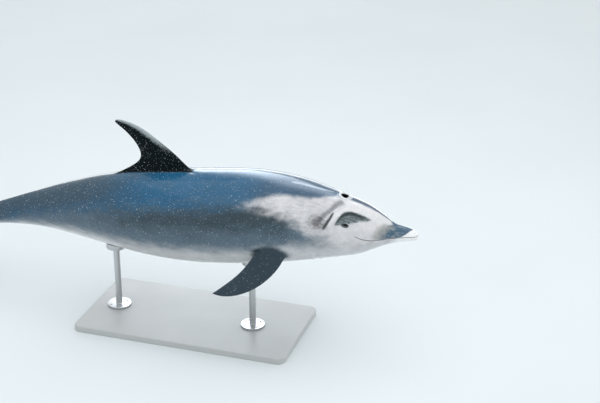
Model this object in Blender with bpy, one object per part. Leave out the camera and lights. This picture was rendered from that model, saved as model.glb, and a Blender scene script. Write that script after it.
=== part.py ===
# A bottlenose dolphin at life size, as a museum shows one: mouth closed, blowhole open, back
# and tail in the gentle arch of an animal that has come up to breathe, on a plain stand.
# Metres. +X is the way the animal swims, +Y its left, +Z up. The origin is the middle of the
# stand's underside.
#
# The body is designed straight and then bent. In the straight design a point is
# (distance back from the tip of the upper jaw, distance to the left, height).

import math

import bmesh
import bpy
import numpy as np
from mathutils import Matrix, Vector

for leftover in list(bpy.data.objects):
    bpy.data.objects.remove(leftover, do_unlink=True)

# ---- driving dimensions ----------------------------------------------------------------

GAP = 0.0003  # between two pieces that touch
SIDES = 32  # points round the body
SMOOTH_ANGLE = 40  # edges sharper than this, in degrees, stay crisp
BEAK_TIP = (1.12, 0.0, 0.64)  # where the tip of the upper jaw stands over the floor

# Where the body is parted, as distances back from the tip.
NECK_FROM = 0.42
CHEST_FROM = 0.54
LOINS_FROM = 1.02
TAIL_FROM = 1.62
TAIL_ROUND_FROM = 2.46
TAIL_TO = 2.54

# Beak: distance back, half width, rise above the centre line, drop below it.
BEAK = (
    (0.000, 0.0000, 0.0000, 0.0000),
    (0.005, 0.0155, 0.0170, 0.0130),
    (0.020, 0.0260, 0.0280, 0.0200),
    (0.040, 0.0310, 0.0350, 0.0240),
    (0.070, 0.0360, 0.0425, 0.0290),
    (0.100, 0.0420, 0.0485, 0.0350),
    (0.130, 0.0500, 0.0530, 0.0440),
    (0.170, 0.0635, 0.0570, 0.0570),
    (0.220, 0.0800, 0.0600, 0.0760),
    (0.280, 0.0930, 0.0620, 0.0950),
    (0.340, 0.0900, 0.0600, 0.0950),
    (0.420, 0.0500, 0.0400, 0.0600),
)
# Melon and braincase, in the same columns, from the crease at the root of the beak.
MELON_FROM = 0.085
CREASE_SHARPNESS = 9  # how tightly beak and melon meet: the higher, the sharper the crease
BEAK_SQUARENESS = 0.93  # under 1 makes the beak's section fuller than an oval
MELON = (
    (0.085, 0.0000, 0.0000, 0.0000),
    (0.095, 0.0130, 0.0320, 0.0090),
    (0.107, 0.0240, 0.0470, 0.0150),
    (0.120, 0.0340, 0.0580, 0.0220),
    (0.140, 0.0500, 0.0740, 0.0330),
    (0.165, 0.0680, 0.0910, 0.0490),
    (0.200, 0.0870, 0.1120, 0.0700),
    (0.250, 0.1050, 0.1340, 0.0980),
    (0.310, 0.1220, 0.1510, 0.1240),
    (0.400, 0.1500, 0.1720, 0.1500),
)
# Neck, trunk and tail: distance back, height of the back, height of the belly, half width.
BODY = (
    (0.55, 0.214, -0.179, 0.186),
    (0.70, 0.242, -0.197, 0.209),
    (0.85, 0.251, -0.209, 0.221),
    (1.00, 0.248, -0.215, 0.224),
    (1.15, 0.244, -0.213, 0.219),
    (1.30, 0.238, -0.202, 0.205),
    (1.45, 0.225, -0.180, 0.182),
    (1.60, 0.204, -0.149, 0.151),
    (1.75, 0.176, -0.111, 0.117),
    (1.90, 0.146, -0.072, 0.083),
    (2.05, 0.120, -0.038, 0.056),
    (2.20, 0.100, -0.014, 0.040),
    (2.32, 0.086, -0.002, 0.031),
    (2.42, 0.073, 0.007, 0.025),
    (2.52, 0.057, 0.018, 0.019),
)
# Height of the centre line, and how far the sides are drawn in towards a keel (1 is round).
CENTRE = ((0, -0.006), (0.06, -0.007), (0.12, -0.009), (0.20, -0.010), (0.30, -0.006),
          (0.40, 0.000), (0.60, 0.008), (1.00, 0.015), (1.40, 0.024), (1.80, 0.035),
          (2.20, 0.040), (2.40, 0.038), (2.60, 0.036))
KEEL = ((0, 1.0), (0.4, 1.0), (1.1, 1.0), (1.5, 1.08), (1.8, 1.25), (2.05, 1.42), (2.25, 1.48),
        (2.45, 1.25), (2.6, 1.05))
# Pose: how far the body's axis points up towards the head, in degrees, along its length.
ARCH = ((0, 1.0), (0.35, 1.0), (0.75, 5.6), (1.15, 5.3), (1.5, 6.2), (1.85, 10.5), (2.2, 16.0),
        (2.45, 15.0), (2.7, 10.0))

# Line of the closed mouth, seen from the side, from the tip to the corner below the eye.
MOUTH = ((-0.02, -0.001), (0.05, -0.004), (0.10, -0.009), (0.15, -0.014), (0.20, -0.015),
         (0.24, -0.008), (0.27, 0.005), (0.290, 0.018))
JAW_HINGE = (0.315, -0.170)  # where the parting behind the jaw leaves the throat
JAW_ROOM = 0.2  # half the width of the block that the lower jaw is parted with
EYE_AT = (0.320, 0.058)  # distance back and height
EYE_RADIUS = 0.015
EYE_PROUD = 0.005  # how far the eyeball stands out of its socket
BLOWHOLE_AT = 0.346
BLOWHOLE_SIZE = (0.032, 0.036)  # along and across
BLOWHOLE_TAPER = ((-0.020, 1.15), (0.0, 1.0), (0.015, 0.85), (0.030, 0.55))  # depth, share of size

# Fins, as (share of the way to the tip, leading edge, trailing edge).
# Dorsal fin: each edge is a distance back and a height above the line of the back.
DORSAL = (
    (0.00, (1.075, -0.012), (1.530, -0.012)),
    (0.10, (1.112, 0.013), (1.452, 0.014)),
    (0.25, (1.165, 0.070), (1.378, 0.046)),
    (0.45, (1.242, 0.142), (1.353, 0.095)),
    (0.65, (1.315, 0.206), (1.378, 0.158)),
    (0.80, (1.372, 0.243), (1.410, 0.203)),
    (0.92, (1.428, 0.266), (1.444, 0.240)),
    (1.00, (1.464, 0.270), (1.467, 0.263)),
)
DORSAL_THICK = ((0, 0.052), (0.1, 0.044), (0.25, 0.036), (0.6, 0.023), (0.9, 0.011), (1, 0.005))
# Flipper: each edge is a distance back from the shoulder and a distance out along the flipper.
FLIPPER = (
    (0.00, (0.012, -0.040), (0.150, -0.040)),
    (0.15, (0.010, 0.030), (0.146, 0.030)),
    (0.35, (0.021, 0.110), (0.152, 0.100)),
    (0.55, (0.056, 0.190), (0.168, 0.165)),
    (0.75, (0.114, 0.262), (0.196, 0.230)),
    (0.90, (0.183, 0.310), (0.227, 0.285)),
    (1.00, (0.247, 0.326), (0.251, 0.322)),
)
FLIPPER_THICK = ((0, 0.040), (0.15, 0.036), (0.5, 0.022), (0.9, 0.010), (1, 0.005))
SHOULDER_AT = (0.585, 0.150, -0.095)
FLIPPER_REACH = (0.35, 0.54, -0.77)  # the way the flipper points: back, out and down
FLIPPER_TWIST = 14  # degrees its leading edge is turned down
# Fluke: each edge is a distance back and a distance out from the middle of the tail.
FLUKE = (
    (0.00, (2.318, GAP), (2.600, GAP)),
    (0.15, (2.366, 0.036), (2.622, 0.036)),
    (0.35, (2.438, 0.095), (2.640, 0.095)),
    (0.55, (2.512, 0.165), (2.641, 0.165)),
    (0.75, (2.590, 0.235), (2.649, 0.235)),
    (0.90, (2.649, 0.284), (2.669, 0.284)),
    (1.00, (2.687, 0.307), (2.691, 0.305)),
)
FLUKE_THICK = ((0, 0.026), (0.15, 0.024), (0.5, 0.016), (0.9, 0.008), (1, 0.005))
FLUKE_LIFT = 0.018  # how far the tips stand over the roots
EDGE_THICK = 0.0012  # thinnest part of a fin's trailing edge
FOIL = (0.2969, -0.1260, -0.3516, 0.2843, -0.1036)  # half thickness, by powers 1/2 to 4 of the chord

# Stand.
BASE_SIZE = (1.10, 0.56, 0.030)
BASE_CORNER = 0.040
BASE_BEVEL = 0.003
ROD_RADIUS = 0.016
ROD_PLACES = {"front": 0.30, "rear": -0.42}
FLANGE_RADIUS = 0.060
FLANGE_HEIGHT = 0.010
SADDLE_RADIUS = 0.050
SADDLE_DEPTH = 0.022
SADDLE_RIM = 0.012


# ---- curves ------------------------------------------------------------------------------


def smooth_curve(pairs):
    """A function that passes smoothly through the pairs (a natural cubic spline)."""
    knots, values = (np.array(part, float) for part in zip(*pairs))
    steps = np.diff(knots)
    slopes = np.diff(values) / steps
    system = np.eye(len(knots))
    right_side = np.zeros(len(knots))
    for i in range(1, len(knots) - 1):
        system[i, i - 1 : i + 2] = steps[i - 1], 2 * (steps[i - 1] + steps[i]), steps[i]
        right_side[i] = 6 * (slopes[i] - slopes[i - 1])
    bends = np.linalg.solve(system, right_side)

    def value(at):
        at = np.asarray(at, float)
        i = np.clip(np.searchsorted(knots, at) - 1, 0, len(steps) - 1)
        past = at - knots[i]
        cubic = (bends[i + 1] - bends[i]) / (6 * steps[i])
        linear = slopes[i] - steps[i] * (2 * bends[i] + bends[i + 1]) / 6
        return values[i] + past * (linear + past * (bends[i] / 2 + past * cubic))

    return value


centre = smooth_curve(CENTRE)
keel = smooth_curve(KEEL)
arch = smooth_curve([(at, math.radians(degrees)) for at, degrees in ARCH])

# The round ends of the beak and melon need the root of the distance, not the distance.
beak_sizes = [smooth_curve([(math.sqrt(row[0]), row[k]) for row in BEAK]) for k in (1, 2, 3)]
melon_rows = list(MELON) + [(at, half, top - centre(at), centre(at) - bottom)
                            for at, top, bottom, half in BODY]
melon_sizes = [smooth_curve([(math.sqrt(row[0] - MELON_FROM), row[k]) for row in melon_rows])
               for k in (1, 2, 3)]


def oval_radius(angle, half_width, rise, drop, pinch):
    """How far an egg-shaped section reaches at each angle from straight up."""
    turn = np.linspace(0, math.pi, 181)
    out = half_width * np.sin(turn) ** pinch
    up = np.where(turn <= math.pi / 2, rise, drop) * np.cos(turn)
    return np.interp(np.abs(angle), np.arctan2(out, up), np.hypot(out, up))


def section(at, grow=0.0):
    """The body's outline at one distance back, as points of the straight design."""
    angle = np.linspace(-math.pi, math.pi, SIDES, endpoint=False)
    beak = melon = np.zeros(SIDES)
    if at < BEAK[-1][0]:
        sizes = [max(size(math.sqrt(at)), 1e-5) for size in beak_sizes]
        beak = oval_radius(angle, *sizes, BEAK_SQUARENESS)
    if at > MELON_FROM:
        ending = 1.0
        if at > TAIL_ROUND_FROM:
            ending = math.sqrt(1 - ((at - TAIL_ROUND_FROM) / (TAIL_TO - TAIL_ROUND_FROM)) ** 2)
        sizes = [max(size(math.sqrt(at - MELON_FROM)), 1e-5) * ending for size in melon_sizes]
        melon = oval_radius(angle, *sizes, keel(at))
    sharp = CREASE_SHARPNESS
    radius = (beak**sharp + melon**sharp) ** (1 / sharp) + grow
    return [(at, r * math.sin(a), centre(at) + r * math.cos(a)) for r, a in zip(radius, angle)]


def back_height(at):
    return max(height for _, _, height in section(at))


def skin_left(at, height):
    """How far out the skin is at a distance back and a height."""
    heights, lefts = zip(*sorted((z, y) for _, y, z in section(at) if y >= 0))
    return float(np.interp(height, heights, lefts))


SPINE_AT = np.linspace(-0.05, 2.80, 1141)


def spine_line():
    """Where the arched axis runs, forward and up, for each of SPINE_AT."""
    lean = arch(SPINE_AT)
    middle = (lean[1:] + lean[:-1]) / 2
    step = SPINE_AT[1] - SPINE_AT[0]
    forward = np.concatenate([[0], -np.cumsum(np.cos(middle) * step)])
    up = np.concatenate([[0], -np.cumsum(np.sin(middle) * step)])
    return (forward - np.interp(0, SPINE_AT, forward), up - np.interp(0, SPINE_AT, up))


SPINE_FORWARD, SPINE_UP = spine_line()


def bend(point):
    """A point of the straight design, in the arched pose, with the beak's tip at zero."""
    at, left, height = point
    lean = float(arch(at))
    return Vector((
        np.interp(at, SPINE_AT, SPINE_FORWARD) - height * math.sin(lean),
        left,
        np.interp(at, SPINE_AT, SPINE_UP) + height * math.cos(lean),
    ))


# ---- making objects ----------------------------------------------------------------------


def make_material(name, colour, roughness, metallic=0.0):
    material = bpy.data.materials.new(name)
    material.use_nodes = True
    shader = material.node_tree.nodes["Principled BSDF"]
    shader.inputs["Base Color"].default_value = (*colour, 1)
    shader.inputs["Roughness"].default_value = roughness
    shader.inputs["Metallic"].default_value = metallic
    return material


def place_holder(name, location):
    empty = bpy.data.objects.new(name, None)
    empty.location = location
    bpy.context.scene.collection.objects.link(empty)
    return empty


def add_object(name, mesh_builder, parent, material=None):
    """Turns a bmesh into a named object. Without a material it is a cutter."""
    bmesh.ops.recalc_face_normals(mesh_builder, faces=mesh_builder.faces)
    mesh = bpy.data.meshes.new(name)
    mesh_builder.to_mesh(mesh)
    mesh_builder.free()
    mesh.shade_smooth()
    mesh.set_sharp_from_angle(angle=math.radians(SMOOTH_ANGLE))
    made = bpy.data.objects.new(name, mesh)
    made.parent = parent
    bpy.context.scene.collection.objects.link(made)
    if material:
        mesh.materials.append(material)
    else:
        made.hide_render = True
        made.display_type = "WIRE"
    return made


def cut(made, cutter, operation="DIFFERENCE"):
    modifier = made.modifiers.new(operation.lower() + " " + cutter.name, "BOOLEAN")
    modifier.operation = operation
    modifier.object = cutter
    modifier.solver = "EXACT"


def skin_rings(rings, start_tip=None, end_tip=None):
    """A closed bmesh over a row of rings. An end is a flat face, or runs to a tip point."""
    builder = bmesh.new()
    rows = [[builder.verts.new(point) for point in ring] for ring in rings]
    count = len(rows[0])
    for near, far in zip(rows, rows[1:]):
        for i in range(count):
            j = (i + 1) % count
            builder.faces.new((near[i], near[j], far[j], far[i]))
    for row, tip in ((rows[0], start_tip), (rows[-1], end_tip)):
        if tip is None:
            builder.faces.new(row)
            continue
        point = builder.verts.new(tip)
        for i in range(count):
            builder.faces.new((row[i], row[(i + 1) % count], point))
    return builder


def stations(start, end, spacing):
    """Distances from start to end, about the spacing apart and the same for each piece."""
    count = max(1, round((end - start) / spacing))
    return list(np.linspace(start, end, count + 1))


HEAD_STATIONS = ([0.0012, 0.004, 0.010, 0.020, 0.035, 0.055, 0.075, 0.090, 0.098, 0.106]
                 + stations(0.114, 0.162, 0.012) + stations(0.18, NECK_FROM, 0.024))
NECK_STATIONS = stations(NECK_FROM, CHEST_FROM, 0.04)
CHEST_STATIONS = stations(CHEST_FROM, LOINS_FROM, 0.06)
LOINS_STATIONS = stations(LOINS_FROM, TAIL_FROM, 0.06)
TAIL_STATIONS = stations(TAIL_FROM, TAIL_ROUND_FROM, 0.065) + [2.485, 2.508, 2.525, 2.535]


def body_length(name, distances, parent, material=None, first=False, last=False, grow=0.0):
    """One length of the body, kept half a gap short at each parted end."""
    ends = list(distances)
    if not first and not grow:
        ends[0] += GAP / 2
    if not last and not grow:
        ends[-1] -= GAP / 2
    rings = [[bend(point) for point in section(at, grow)] for at in ends]
    start_tip = bend((-grow, 0, centre(0))) if first else None
    end_tip = bend((TAIL_TO + grow, 0, centre(TAIL_TO))) if last else None
    return add_object(name, skin_rings(rings, start_tip, end_tip), parent, material)


def fin_mesh(rows, thick, place, thick_way, sections=11, points=8):
    """A tapering foil between a leading and a trailing edge, both given root to tip."""
    leading = [smooth_curve([(s, edge[k]) for s, edge, _ in rows]) for k in (0, 1)]
    trailing = [smooth_curve([(s, edge[k]) for s, _, edge in rows]) for k in (0, 1)]
    thickness = smooth_curve(thick)
    rings = []
    for s in 1 - (1 - np.linspace(0, 1, sections)) ** 1.25:
        front = np.array([edge(s) for edge in leading])
        rear = np.array([edge(s) for edge in trailing])
        ring = []
        for k in range(2 * points):
            chord = (1 - math.cos(math.pi * k / points)) / 2
            powers = (math.sqrt(chord), chord, chord**2, chord**3, chord**4)
            foil = 5 * sum(share * power for share, power in zip(FOIL, powers))
            half = max(thickness(s) * foil, 0.0) + EDGE_THICK / 2 * chord
            side = 0 if k in (0, points) else (1 if k < points else -1)
            middle = Vector(place(*(front + (rear - front) * chord)))
            ring.append(bend(middle + Vector(thick_way) * half * side))
        rings.append(ring)
    return skin_rings(rings)


def cylinder_mesh(radius, low, high, sides=32, middle=(0.0, 0.0), bevel=0.0):
    builder = bmesh.new()
    place = Matrix.Translation((middle[0], middle[1], (low + high) / 2))
    bmesh.ops.create_cone(builder, cap_ends=True, segments=sides, radius1=radius, radius2=radius,
                          depth=high - low, matrix=place)
    if bevel:
        top = [edge for edge in builder.edges if all(v.co.z > high - 1e-6 for v in edge.verts)]
        bmesh.ops.bevel(builder, geom=top, offset=bevel, segments=2, affect="EDGES", profile=0.5)
    return builder


# ---- the animal --------------------------------------------------------------------------

dolphin = place_holder("dolphin", BEAK_TIP)
stand = place_holder("stand", (0, 0, 0))

back_skin = make_material("skin_slate", (0.12, 0.20, 0.28), 0.30)
flank_skin = make_material("skin_flank", (0.28, 0.36, 0.43), 0.30)
pale_skin = make_material("skin_pale", (0.62, 0.63, 0.66), 0.30)
fin_skin = make_material("skin_fin", (0.03, 0.05, 0.06), 0.35)
eye_gloss = make_material("eye_gloss", (0.02, 0.015, 0.01), 0.05)
stand_paint = make_material("stand_paint", (0.55, 0.55, 0.54), 0.45)
stand_steel = make_material("stand_steel", (0.56, 0.57, 0.58), 0.30, 1.0)


def jaw_block(name, shrink):
    """Everything below the line of the mouth and in front of the jaw's hinge."""
    mouth = smooth_curve(MOUTH)
    profile = [(at, float(mouth(at)) - shrink)
               for at in np.linspace(MOUTH[0][0], MOUTH[-1][0] - shrink, 13)]
    profile += [(JAW_HINGE[0] - shrink, JAW_HINGE[1]), (MOUTH[0][0], JAW_HINGE[1])]
    rings = [[bend((at, left, height)) for at, height in profile]
             for left in (-JAW_ROOM, JAW_ROOM)]
    return add_object(name, skin_rings(rings), dolphin)


def make_head():
    head = body_length("head", HEAD_STATIONS, dolphin, back_skin, first=True)
    jaw = body_length("lower_jaw", HEAD_STATIONS, dolphin, pale_skin, first=True)
    cut(head, jaw_block("jaw_room", 0.0))
    cut(jaw, jaw_block("jaw_shape", GAP), "INTERSECT")
    for side, way in (("left", 1), ("right", -1)):
        make_eye(head, side, way)
    cut(head, blowhole_pit())


def make_eye(head, side, way):
    at, height = EYE_AT
    out = skin_left(at, height)
    inward = EYE_RADIUS - EYE_PROUD
    middle = bend((at, way * (out - inward), height))
    for name, radius, material in (("eye_" + side, EYE_RADIUS, eye_gloss),
                                   ("socket_" + side, EYE_RADIUS + GAP, None)):
        ball = bmesh.new()
        facing_out = Matrix.Rotation(math.pi / 2, 4, "X")
        bmesh.ops.create_uvsphere(ball, u_segments=16, v_segments=10, radius=radius,
                                  matrix=Matrix.Translation(middle) @ facing_out)
        made = add_object(name, ball, dolphin, material)
        if material is None:
            cut(head, made)


def blowhole_pit():
    """The open blowhole: an oval pit that narrows downwards."""
    along, across = BLOWHOLE_SIZE
    top = back_height(BLOWHOLE_AT)
    rings = []
    for depth, share in BLOWHOLE_TAPER:
        ring = []
        for k in range(24):
            turn = 2 * math.pi * k / 24
            ring.append(bend((BLOWHOLE_AT + along / 2 * share * math.cos(turn),
                              across / 2 * share * math.sin(turn), top - depth)))
        rings.append(ring)
    return add_object("blowhole_pit", skin_rings(rings), dolphin)


def make_trunk():
    body_length("neck", NECK_STATIONS, dolphin, back_skin)
    body_length("trunk_front", CHEST_STATIONS, dolphin, flank_skin)
    body_length("trunk_rear", LOINS_STATIONS, dolphin, back_skin)
    body_length("tail_stock", TAIL_STATIONS, dolphin, back_skin, last=True)


def body_room():
    """The whole body grown by the gap, which every fin and saddle is cut by."""
    distances = NECK_STATIONS + CHEST_STATIONS[1:] + LOINS_STATIONS[1:] + TAIL_STATIONS[1:]
    return body_length("body_room", distances, dolphin, last=True, grow=GAP)


def make_dorsal_fin(room):
    def place(at, height):
        return at, 0.0, back_height(at) + height

    mesh = fin_mesh(DORSAL, DORSAL_THICK, place, (0, 1, 0), sections=14)
    cut(add_object("dorsal_fin", mesh, dolphin, fin_skin), room)


def make_flippers(room):
    for side, way in (("left", 1), ("right", -1)):
        reach = Vector((FLIPPER_REACH[0], FLIPPER_REACH[1] * way, FLIPPER_REACH[2])).normalized()
        chord = Vector((1, 0, 0))
        chord = (chord - reach * chord.dot(reach)).normalized()
        chord = (Matrix.Rotation(math.radians(-FLIPPER_TWIST * way), 3, reach) @ chord).normalized()
        shoulder = Vector((SHOULDER_AT[0], SHOULDER_AT[1] * way, SHOULDER_AT[2]))

        def place(back, out):
            return shoulder + chord * back + reach * out

        mesh = fin_mesh(FLIPPER, FLIPPER_THICK, place, chord.cross(reach))
        cut(add_object("flipper_" + side, mesh, dolphin, fin_skin), room)


def make_flukes(room):
    for side, way in (("left", 1), ("right", -1)):
        def place(at, out):
            share = out / FLUKE[-1][1][1]
            return at, out * way, float(centre(2.5)) + FLUKE_LIFT * share**2

        mesh = fin_mesh(FLUKE, FLUKE_THICK, place, (0, 0, 1))
        cut(add_object("fluke_" + side, mesh, dolphin, fin_skin), room)


# ---- the stand ---------------------------------------------------------------------------


def belly_height(forward):
    """Height of the belly over the floor, at a place along the stand."""
    distances = np.linspace(CHEST_FROM, TAIL_FROM + 0.2, 200)
    lows = [bend(section(at)[0]) for at in distances]
    places = [low.x + BEAK_TIP[0] for low in lows]
    heights = [low.z + BEAK_TIP[2] for low in lows]
    return float(np.interp(forward, places[::-1], heights[::-1]))


def make_base():
    length, width, thick = BASE_SIZE
    builder = bmesh.new()
    bmesh.ops.create_cube(builder, size=1, matrix=Matrix.Diagonal((length, width, thick, 1)))
    bmesh.ops.translate(builder, verts=builder.verts, vec=(0, 0, thick / 2))
    upright = [e for e in builder.edges if abs(e.verts[0].co.z - e.verts[1].co.z) > thick / 2]
    bmesh.ops.bevel(builder, geom=upright, offset=BASE_CORNER, segments=6, affect="EDGES",
                    profile=0.5)
    top = [e for e in builder.edges if all(v.co.z > thick - 1e-6 for v in e.verts)]
    bmesh.ops.bevel(builder, geom=top, offset=BASE_BEVEL, segments=2, affect="EDGES", profile=0.5)
    add_object("stand_base", builder, stand, stand_paint)


def make_support(end, forward, room):
    """One rod with its flange on the base and its saddle under the belly."""
    floor = BASE_SIZE[2] + GAP
    belly = belly_height(forward)
    saddle_low = belly - SADDLE_DEPTH
    middle = (forward, 0.0)
    flange = cylinder_mesh(FLANGE_RADIUS, floor, floor + FLANGE_HEIGHT, 40, middle, 0.002)
    add_object("stand_flange_" + end, flange, stand, stand_steel)
    rod = cylinder_mesh(ROD_RADIUS, floor + FLANGE_HEIGHT + GAP, saddle_low - GAP, 24, middle)
    add_object("stand_rod_" + end, rod, stand, stand_steel)
    saddle = cylinder_mesh(SADDLE_RADIUS, saddle_low, belly + SADDLE_RIM, 40, middle)
    cut(add_object("stand_saddle_" + end, saddle, stand, stand_steel), room)


make_head()
make_trunk()
room = body_room()
make_dorsal_fin(room)
make_flippers(room)
make_flukes(room)
make_base()
for end, forward in ROD_PLACES.items():
    make_support(end, forward, room)
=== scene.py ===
# Bottlenose dolphin at life size, as a still museum model on a plain stand.
# This script gives the looks: one seamless skin over the body's solids, eyes with lids, blowhole,
# mouth and folds, the markings, and the finish of the stand. Metres, +X forward, +Z up.
import math
from functools import partial

import bpy
import numpy as np
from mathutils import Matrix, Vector, noise
from mathutils.bvhtree import BVHTree


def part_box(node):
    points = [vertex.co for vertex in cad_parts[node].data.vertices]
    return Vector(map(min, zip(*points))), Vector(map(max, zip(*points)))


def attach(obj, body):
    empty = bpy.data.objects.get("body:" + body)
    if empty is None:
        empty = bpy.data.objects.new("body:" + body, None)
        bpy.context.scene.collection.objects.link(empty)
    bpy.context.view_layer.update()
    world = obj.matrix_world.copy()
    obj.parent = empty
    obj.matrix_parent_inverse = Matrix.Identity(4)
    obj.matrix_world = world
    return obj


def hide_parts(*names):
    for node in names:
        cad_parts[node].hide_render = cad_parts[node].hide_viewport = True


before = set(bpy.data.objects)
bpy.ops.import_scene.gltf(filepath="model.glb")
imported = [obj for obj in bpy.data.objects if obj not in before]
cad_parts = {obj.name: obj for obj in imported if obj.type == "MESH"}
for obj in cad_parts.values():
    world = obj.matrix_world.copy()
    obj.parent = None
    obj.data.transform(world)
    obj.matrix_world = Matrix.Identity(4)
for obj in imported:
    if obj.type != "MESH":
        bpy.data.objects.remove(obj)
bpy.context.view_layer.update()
print("solids loaded")

mm, degree = 0.001, math.pi / 180


def table(units, *rows):  # rows of numbers, and the unit of each column
    return np.array(rows) * units


def fromHex(code):  # sRGB hex to the linear colour that shaders work in
    parts = [int(code[i:i + 2], 16) / 255 for i in (1, 3, 5)]
    return (*(p / 12.92 if p <= 0.04045 else ((p + 0.055) / 1.055) ** 2.4 for p in parts), 1)


def addObject(name, data):
    made = bpy.data.objects.new(name, data)
    bpy.context.scene.collection.objects.link(made)
    return made


def softStep(low, high, value):  # falls instead of rising where low is over high
    share = np.clip((value - low) / (high - low), 0, 1)
    return share * share * (3 - 2 * share)


def mix(first, second, share):
    return first + (second - first) * share


def runAlong(x, y):  # distance along a row of points
    return np.concatenate([[0], np.cumsum(np.hypot(np.diff(x), np.diff(y)))])


def unit(vectors):
    return vectors / np.maximum(np.linalg.norm(vectors, axis=-1, keepdims=True), 1e-9)


def smoothCurve(pairs):  # a natural cubic spline through (place, value) pairs
    knots, values = (np.array(part, float) for part in zip(*pairs))
    steps = np.diff(knots)
    slopes = np.diff(values) / steps
    system, rightSide = np.eye(len(knots)), np.zeros(len(knots))
    for i in range(1, len(knots) - 1):
        system[i, i - 1:i + 2] = steps[i - 1], 2 * (steps[i - 1] + steps[i]), steps[i]
        rightSide[i] = 6 * (slopes[i] - slopes[i - 1])
    bends = np.linalg.solve(system, rightSide)

    def value(at):
        i = np.clip(np.searchsorted(knots, at) - 1, 0, len(steps) - 1)
        past = at - knots[i]
        cubic = (bends[i + 1] - bends[i]) / (6 * steps[i])
        linear = slopes[i] - steps[i] * (2 * bends[i] + bends[i + 1]) / 6
        return values[i] + past * (linear + past * (bends[i] / 2 + past * cubic))

    return value


view = {
    "lens": 85, "sensor": 36,  # mm
    "target": (0.545, 0, 0.733), "distance": 6.656,
    "azimuth": 17.91, "elevation": 23.94,  # degrees, from square on the right side towards the head
}


def makeCamera():
    camera = addObject("camera", bpy.data.cameras.new("camera"))
    around, above = view["azimuth"] * degree, view["elevation"] * degree
    towards = Vector((math.sin(around) * math.cos(above), -math.cos(around) * math.cos(above),
                      math.sin(above)))
    camera.location = Vector(view["target"]) + towards * view["distance"]
    camera.rotation_euler = towards.to_track_quat("Z", "Y").to_euler()
    camera.data.lens, camera.data.sensor_width = view["lens"], view["sensor"]
    camera.data.clip_end = 200
    bpy.context.scene.camera = camera


makeCamera()

# The animal is drawn straight and then arched. A straight point is (distance back from the tip
# of the beak, distance to the left, height). The same curves stand behind the solids.

body = {
    "beak": table(mm,  # distance back, half width, rise above the centre line, drop below it
        (0, 0, 0, 0), (5, 15.5, 17, 13), (20, 26, 28, 20), (40, 31, 35, 24), (70, 36, 42.5, 29),
        (100, 42, 48.5, 35), (130, 50, 53, 44), (170, 63.5, 57, 57), (220, 80, 60, 76), (280, 93, 62, 95),
        (340, 90, 60, 95), (420, 50, 40, 60)),
    "melonFrom": 0.085,
    "melon": table(mm,
        (85, 0, 0, 0), (95, 13, 32, 9), (107, 24, 47, 15), (120, 34, 58, 22), (140, 50, 74, 33),
        (165, 68, 91, 49), (200, 87, 112, 70), (250, 105, 134, 98), (310, 122, 151, 124),
        (400, 150, 172, 150)),
    "trunk": table(mm,  # distance back, height of the back, height of the belly, half width
        (550, 214, -179, 186), (700, 242, -197, 209), (850, 251, -209, 221), (1000, 248, -215, 224),
        (1150, 244, -213, 219), (1300, 238, -202, 205), (1450, 225, -180, 182), (1600, 204, -149, 151),
        (1750, 176, -111, 117), (1900, 146, -72, 83), (2050, 120, -38, 56), (2200, 100, -14, 40),
        (2320, 86, -2, 31), (2420, 73, 7, 25), (2520, 57, 18, 19)),
    "centre": table(mm,
        (0, -6), (60, -7), (120, -9), (200, -10), (300, -6), (400, 0), (600, 8), (1000, 15), (1400, 24),
        (1800, 35), (2200, 40), (2400, 38), (2600, 36)),
    "keel": table((mm, 1),  # over 1 draws the sides in towards a ridge
        (0, 1), (400, 1), (1100, 1), (1500, 1.08), (1800, 1.25), (2050, 1.42), (2250, 1.48), (2450, 1.25),
        (2600, 1.05)),
    "arch": table((mm, degree),  # how far the body's axis points up towards the head
        (0, 1), (350, 1), (750, 5.6), (1150, 5.3), (1500, 6.2), (1850, 10.5), (2200, 16), (2450, 15),
        (2700, 10)),
    "mouth": table(mm,
        (-20, -1), (50, -4), (100, -9), (150, -14), (200, -15), (240, -8), (270, 5), (290, 18)),
    "creaseSharpness": 9, "beakSquareness": 0.93,
    "tailRoundFrom": 2.46, "tailTo": 2.54,
}

centre, keel, mouth, arch = (smoothCurve(body[name]) for name in ("centre", "keel", "mouth", "arch"))
mouthEnd = body["mouth"][-1][0]
beakSizes = [smoothCurve([(math.sqrt(row[0]), row[k]) for row in body["beak"]]) for k in (1, 2, 3)]
melonRows = list(body["melon"]) + [(at, half, top - centre(at), centre(at) - low)
                                   for at, top, low, half in body["trunk"]]
melonSizes = [smoothCurve([(math.sqrt(max(row[0] - body["melonFrom"], 0)), row[k]) for row in melonRows])
              for k in (1, 2, 3)]


def sizesAt(curves, past):
    return [max(size(math.sqrt(past)), 1e-5) for size in curves]


def trunkSizes(at):  # half width, rise and drop, rounded off at the end of the tail
    past = max(at - body["tailRoundFrom"], 0) / (body["tailTo"] - body["tailRoundFrom"])
    ending = math.sqrt(max(1 - past ** 2, 0))
    return [size * ending for size in sizesAt(melonSizes, at - body["melonFrom"])]


def ovalReach(angle, halfWidth, rise, drop, pinch):
    turn = np.linspace(0, math.pi, 361)
    out = halfWidth * np.sin(turn) ** pinch
    up = np.where(turn <= math.pi / 2, rise, drop) * np.cos(turn)
    return np.interp(np.abs(angle), np.arctan2(out, up), np.hypot(out, up))


def reachAt(at, angle):  # how far the skin is from the centre line, at angles from straight up
    beak = melon = np.zeros(np.shape(angle))
    if at < body["beak"][-1][0]:
        beak = ovalReach(angle, *sizesAt(beakSizes, at), body["beakSquareness"])
    if at > body["melonFrom"]:
        melon = ovalReach(angle, *trunkSizes(at), keel(at))
    sharp = body["creaseSharpness"]
    return (beak ** sharp + melon ** sharp) ** (1 / sharp)


def skinPoint(at, angle):  # a straight point on the skin
    reach = reachAt(at, angle)
    return np.stack([np.full_like(reach, at), reach * np.sin(angle),
                     centre(at) + reach * np.cos(angle)], -1)


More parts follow.
